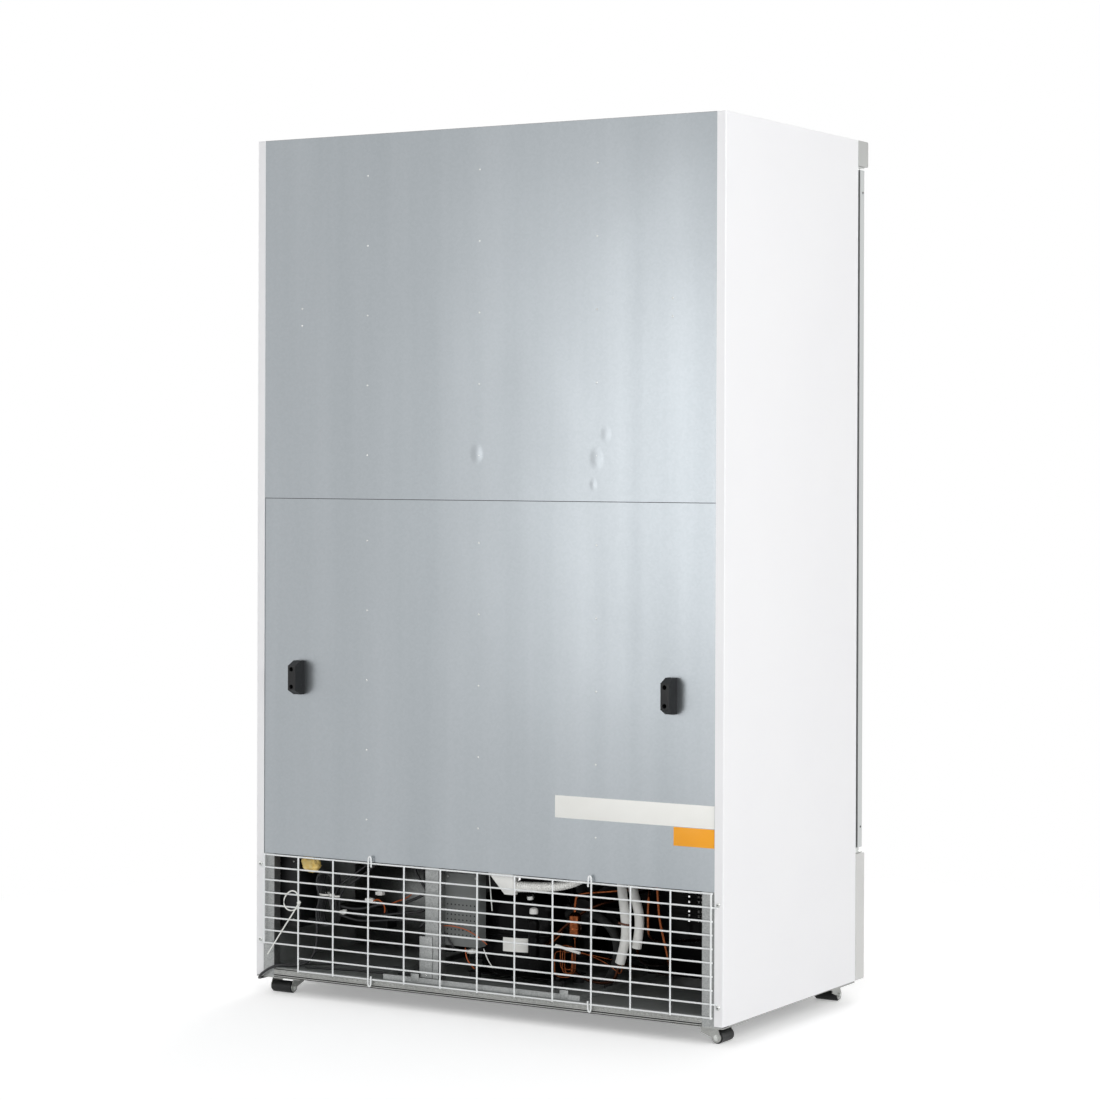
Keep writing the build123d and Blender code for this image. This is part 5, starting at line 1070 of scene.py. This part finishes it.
# %% Cup of the drain
cup_foot_z = 287
cup_top = [(-88, 318), (-20, 318), (-20, 350), (-88, 350)]
cup_foot = [(-88, 324), (-60, 324), (-60, 344), (-88, 344)]
shape = bmesh.new()
top_loop = [shape.verts.new((x, y, deck_z)) for x, y in cup_top]
foot_loop = [shape.verts.new((x, y, cup_foot_z)) for x, y in cup_foot]
for index in range(4):
    after = (index + 1) % 4
    shape.faces.new((foot_loop[index], foot_loop[after], top_loop[after], top_loop[index]))
shape.faces.new(reversed(foot_loop))
shape.faces.new(top_loop)
edges = [edge for edge in shape.edges if abs(edge.verts[0].co.z - edge.verts[1].co.z) > 10]
bmesh.ops.bevel(shape, geom=edges, offset=5, segments=4, profile=0.5, affect="EDGES")
finished(mesh_piece("drain_cup", shape, 40), white_pp)
print("drain cup", cup_top[1][0] - cup_top[0][0], "mm wide")

# %% [markdown]
# ## Boxes and wiring
# The light grey terminal box has rows of punched vent holes. A hole this small shows only the shade inside
# the box, so each is a shallow dark stud set a tenth of a millimetre proud: painted shade in place of the
# hole. An orange wire crosses the lower rows.

# %% Painted shade of the vent holes, and screws of the terminal box
box_low, box_high = box_of("electrical_box")
vent_rows, vent_columns = 7, 8
# Each dark stud is painted shade where a vent hole would show the dark inside of the box.
shape = bmesh.new()
for row in range(vent_rows):
    for column in range(vent_columns):
        x = box_low.x + 11 + column * 10.5
        z = box_low.z + 26 + row * 11.5
        add_rod(shape, (x, box_high.y - 1, z), (x, box_high.y + 0.1, z), 1.9, 12)
finished(mesh_piece("terminal_box_vent_shade", shape), black_nylon)
lid_screws = [(x, box_high.z - 9) for x in (box_low.x + 8, box_high.x - 14)]
screw_row("terminal_box_screw", lid_screws, box_high.y, 2.6)
print("vent holes:", vent_rows * vent_columns)

# %% [markdown]
# The wires and cables hang between boxes, posts and ceiling, and two lie on the floor. Each sheath has its
# own colour and radius, so one table gives a finish, a radius and a route for each.

# %% Wires and cables
wire_routes = {
    "terminal_wire_orange": (wire_orange, 1.1, [
        (122, 318, 196), (108, 319, 199), (80, 319.5, 198), (50, 319, 192), (22, 316, 178), (6, 308, 162)]),
    "terminal_wire_black": (lead_pvc, 2.2, [
        (121, 317, 190), (108, 318, 172), (96, 319, 158), (92, 316, 148), (88, 300, 140)]),
    "terminal_wire_low": (wire_orange, 1.3, [(70, 300, 148), (66, 304, 128), (58, 300, 112), (50, 292, 100)]),
    "relay_wire_white": (tie_nylon, 1.2, [(20, 300, 150), (10, 306, 136), (2, 304, 120), (-4, 298, 108)]),
    "sensor_tube_silver": (zinc_plate, 1.6, [(2, 306, 334), (0, 306, 311), (-2, 306, 285), (-6, 305, 240)]),
    "ceiling_cable_1": (lead_pvc, 2.6, [
        (434, 300, 214), (436, 302, 240), (426, 302, 262), (385, 300, 291), (345, 298, 319),
        (326, 296, 334)]),
    "ceiling_cable_2": (lead_pvc, 2.6, [
        (430, 292, 206), (428, 294, 232), (418, 295, 254), (378, 293, 282), (336, 291, 311),
        (308, 289, 334)]),
    "post_cable_1": (lead_pvc, 3.0, [
        (214, 300, 334), (206, 302, 312), (190, 304, 292), (172, 306, 270), (160, 308, 240), (164, 306, 214),
        (180, 302, 196), (196, 296, 186)]),
    "post_cable_2": (lead_pvc, 2.6, [
        (190, 296, 334), (188, 298, 306), (176, 300, 276), (168, 300, 250), (172, 298, 226),
        (186, 294, 208)]),
    "loom_cable_1": (lead_pvc, 3.4, [
        (440, 290, 216), (410, 276, 206), (370, 268, 210), (330, 262, 224), (290, 256, 222), (250, 250, 236),
        (200, 244, 262), (180, 240, 300), (176, 238, 334)]),
    "loom_cable_2": (lead_pvc, 3.0, [
        (440, 284, 204), (405, 270, 192), (360, 262, 190), (310, 256, 200), (260, 250, 206), (214, 246, 214),
        (190, 240, 250), (168, 236, 300), (160, 234, 334)]),
    "loom_cable_3": (lead_pvc, 2.6, [
        (438, 296, 198), (400, 284, 182), (352, 272, 182), (300, 262, 188), (240, 250, 190), (190, 244, 186),
        (150, 238, 190), (110, 236, 196)]),
    "loom_wire_orange": (wire_orange, 1.6, [
        (352, 268, 226), (338, 272, 236), (322, 274, 232), (312, 270, 216), (318, 266, 204)]),
    "loom_wire_orange_2": (wire_orange, 1.4, [
        (300, 262, 226), (282, 264, 234), (262, 262, 240), (246, 258, 252)]),
    "floor_cable_1": (lead_pvc, 2.4, [
        (540, 300, 68), (470, 262, 68), (400, 226, 68), (352, 240, 68), (316, 212, 68), (262, 226, 68),
        (210, 200, 68), (172, 188, 90)]),
    "floor_cable_2": (lead_pvc, 2.2, [
        (500, 330, 68), (440, 318, 68), (380, 300, 68), (330, 304, 68), (282, 286, 68), (230, 292, 68),
        (186, 270, 80)]),
}
for name, (sheath, radius, route) in wire_routes.items():
    finished(tube(name, route, radius, sides=4), sheath)
print("wires:", len(wire_routes))

# %% [markdown]
# Connectors join the loom to the lamps and the fans: white nylon housings with a stepped nose. They hang
# in the loom, so each is turned a little. Five small bright screws close the black control box beside the
# right post.

# %% Connectors
connectors = {  # each one's place, its turns about Z and Y in degrees, and its length
    "loom_connector_1": ((359, 268, 230), 12, -8, 22),
    "loom_connector_2": ((331, 266, 249), -10, 6, 22),
    "loom_connector_3": ((431, 284, 196), 20, 18, 30),
    "relay_connector": ((52, 300, 141), -20, 10, 24),
}


def tilt(place, turn_y, turn_z=0):
    """The matrix that turns a shape about Y and then Z, in degrees, and moves it to a place."""
    spin = Matrix.Rotation(math.radians(turn_z), 4, "Z") @ Matrix.Rotation(math.radians(turn_y), 4, "Y")
    return Matrix.Translation(place) @ spin


for name, (place, turn_z, turn_y, length) in connectors.items():
    shape = bmesh.new()
    half = length / 2
    add_box(shape, (-half, -6, -5), (half * 0.35, 6, 5), 0.8)
    add_box(shape, (half * 0.3, -4.6, -3.8), (half, 4.6, 3.8), 0.6)
    add_box(shape, (-half * 0.7, -2, 4.6), (half * 0.1, 2, 6.4), 0.4)
    shape.transform(tilt(place, turn_y, turn_z))
    finished(mesh_piece(name, shape), white_pp)
print("connectors:", len(connectors))

# %% Screws of the control box
control_lid_y = 316.5
control_screws = ((586, 312), (545, 314), (586, 282), (545, 176), (586, 170))
screw_row("control_box_screw", control_screws, control_lid_y, 2.4)
print("control box screws:", len(control_screws))

# %% [markdown]
# ## Air baffles
# Black sheets box in the condenser, so that the fan draws air through it and not round it. The left
# one has three columns of punched holes that let spots of light through. A hole in a sheet is cheapest as a
# grid of strips: the sheet is cut along the columns and rows, and the squares at the holes are left out.

# %% Baffles beside the condenser
coil_low, coil_high = box_of("condenser_coil")
baffle_y = 16.5
baffle_edge = 575
hole = 5
deck_under = slab_low - 0.3
floor_top = box_of("base_floor")[1].z
inner_left = coil_low.x - 34
inner_right = coil_high.x + 34
hole_rows = [209 + 11 * index for index in range(11)]
hole_columns = [-395, -387, -362]


def cuts(low, high, holes):
    """Where a sheet is cut: at its two ends and at both sides of each hole."""
    sides = [middle + half for middle in holes for half in (-hole / 2, hole / 2)]
    return sorted([low, high] + sides)


def baffle(name, low, high, finish, columns=(), rows=()):
    """A thin upright sheet between two corners (x, z), with square holes where columns cross rows."""
    shape = bmesh.new()
    heights = cuts(low[1], high[1], rows)
    grid = [[shape.verts.new((x, baffle_y, z)) for z in heights] for x in cuts(low[0], high[0], columns)]
    for i in range(len(grid) - 1):
        for j in range(len(heights) - 1):
            if i % 2 == 0 or j % 2 == 0:
                shape.faces.new((grid[i][j], grid[i + 1][j], grid[i + 1][j + 1], grid[i][j + 1]))
    piece = mesh_piece(name, shape)
    piece.modifiers.new("thickness", "SOLIDIFY").thickness = 1 * mm
    return finished(piece, finish)


baffle("air_baffle_left", (-baffle_edge, floor_top), (inner_left, deck_under), black_paint,
       hole_columns, hole_rows)
baffle("air_baffle_right", (inner_right, floor_top), (baffle_edge, deck_under), frame_zinc)
baffle("air_baffle_top", (inner_left, coil_high.z - 3), (inner_right, deck_under), black_paint)
shape = bmesh.new()
add_box(shape, (inner_right, coil_low.y, floor_top), (inner_right + 1, baffle_y, deck_under))
finished(mesh_piece("air_duct_right", shape), black_paint)
print("baffle holes:", len(hole_columns) * len(hole_rows))

# %% [markdown]
# ## Cable ties
# A nylon tie is a flat ribbed strap with a square head. One holds the hank at its waist, and a long one is
# looped round the guard's wire at the notch, its tail pulled down to the corner. A strap is a flat tube:
# the same curve with a squashed section.

# %% Ties
def strap(name, points, width, thickness, finish=tie_nylon):
    """A flat strap along a route, its width upright."""
    section = bpy.data.curves.new(name + "_section", "CURVE")
    section.dimensions = "2D"
    outline = section.splines.new("POLY")
    outline.points.add(3)
    for point, (a, b) in zip(outline.points, ((-0.5, -0.5), (0.5, -0.5), (0.5, 0.5), (-0.5, 0.5))):
        point.co = (a * thickness * mm, b * width * mm, 0, 1)
    outline.use_cyclic_u = True
    profile = bpy.data.objects.new(name + "_section", section)
    line = smooth_route(name, points)
    line.resolution_u = 8
    line.bevel_mode = "OBJECT"
    line.bevel_object = profile
    line.twist_mode = "Z_UP"
    mesh = meshed(line)
    bpy.data.objects.remove(profile)
    return finished(placed(name, mesh), finish)


def tie_head(name, place, turn_y):
    """The square head of a cable tie."""
    shape = bmesh.new()
    add_box(shape, (-4, -3, -3.4), (4, 3, 3.4), 0.8)
    shape.transform(tilt(place, turn_y))
    return finished(mesh_piece(name, shape), tie_nylon)


hank_band = [(hank_x + 20.5 * math.cos(angle), 298.7 + 23 * math.sin(angle), 241 + 0.8 * math.sin(angle))
             for angle in full_turn(12) + [2 * math.pi]]
strap("hank_tie", hank_band, 4.6, 1.3)
strap("hank_tie_tail", [(438, 316, 242), (428, 322, 242), (416, 326, 241), (404, 327, 243)], 4.6, 1.2)
tie_head("hank_tie_head", (437, 315, 242), 0)
guard_band = [(495, 367, 224), (493, 368, 237), (497, 368.5, 248), (507, 368.5, 254), (520, 368, 251),
              (533, 367, 240), (540, 365, 224), (537, 361, 209), (526, 357, 203), (512, 356, 206),
              (500, 358, 215), (494, 362, 222)]
strap("guard_tie_loop", guard_band, 3.0, 1.2)
guard_tail = [(494, 366, 226), (505, 366.5, 208), (530, 366.5, 174), (560, 366, 132), (586, 365, 96)]
strap("guard_tie_tail", guard_tail, 3.0, 1.2)
tie_head("guard_tie_head", (494, 366, 226), 40)
sleeve_band = [(-331, 292, 238), (-345, 294, 236), (-356, 288, 234), (-357, 276, 234), (-345, 269.5, 236),
               (-333, 272, 238), (-330, 284, 239), (-336, 292, 237)]
strap("sleeve_tie", sleeve_band, 4.4, 1.6, tie_brown)
print("ties made")

# %% [markdown]
# ## The foam plug
# Where the cables come down through the cabinet's floor, polyurethane foam was sprayed in and swelled out
# as a crusty lump. A sphere pushed about by three sizes of noise has that cauliflower skin.

# %% Foam lump
foam_middle = Vector((497, 312, 313))
foam_size = Matrix.Diagonal((25, 16, 22))
foam_top = 334.8
shape = bmesh.new()
bmesh.ops.create_icosphere(shape, subdivisions=5, radius=1.0)
for vertex in shape.verts:
    direction = vertex.co.normalized()
    lump = 1.0 + 0.16 * noise.noise(direction * 2.1) + 0.07 * noise.noise(direction * 7.0)
    lump += 0.03 * noise.noise(direction * 19.0)
    vertex.co = foam_middle + foam_size @ direction * lump
    vertex.co.z = min(vertex.co.z, foam_top)
foam = finished(mesh_piece("sprayed_foam_plug", shape, 70), wall_foam)
print("foam lump faces:", len(foam.data.polygons))

# %% [markdown]
# ## Wire shelves
# The shelves are white coated wire: a thick border with two cross bars, and thin rods from front to back
# welded on top. The frame's boxes give each shelf's corners, so all eight come from one function.

# %% Shelves
border = 3
cross_radius = 2.4
rod_radius = 1.6
rod_pitch = 24


def wire_shelf(shape, low, high):
    """Add the border, cross bars and rods of one shelf to a bmesh."""
    z = low.z + border
    (x1, y1), (x2, y2) = (low.x + border, low.y + border), (high.x - border, high.y - border)
    corners = [(x1, y1, z), (x2, y1, z), (x2, y2, z), (x1, y2, z)]
    for start, end in zip(corners, corners[1:] + corners[:1]):
        add_rod(shape, start, end, border, 12)
    for corner in corners:
        bmesh.ops.create_uvsphere(shape, u_segments=12, v_segments=8, radius=border,
                                  matrix=Matrix.Translation(corner))
    for share in (0.33, 0.67):
        y = low.y + (high.y - low.y) * share
        add_rod(shape, (x1, y, z - 0.6), (x2, y, z - 0.6), cross_radius, 10)
    count = int((high.x - low.x) / rod_pitch)
    for index in range(1, count):
        x = low.x + (high.x - low.x) * index / count
        add_rod(shape, (x, y1, z + 1.2), (x, y2, z + 1.2), rod_radius, 8)


for level in range(1, 5):
    low, high = box_of(f"shelves_level_{level}")
    shape = bmesh.new()
    wire_shelf(shape, Vector((border, low.y, low.z)), high)
    wire_shelf(shape, low, Vector((-border, high.y, high.z)))
    shelf = finished(mesh_piece(f"wire_shelves_{level}", shape, 50), wire_coat)
    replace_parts(shelf, f"shelves_level_{level}")
print("shelves on 4 levels")

# %% [markdown]
# ## The size of the dressed model
# The dressed model has to stay inside the box of the hard pieces, so the box of all that it shows is printed.

# %% Sizes and finish
low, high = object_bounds()
print("visual box:", [round(v, 3) for v in low], [round(v, 3) for v in high])
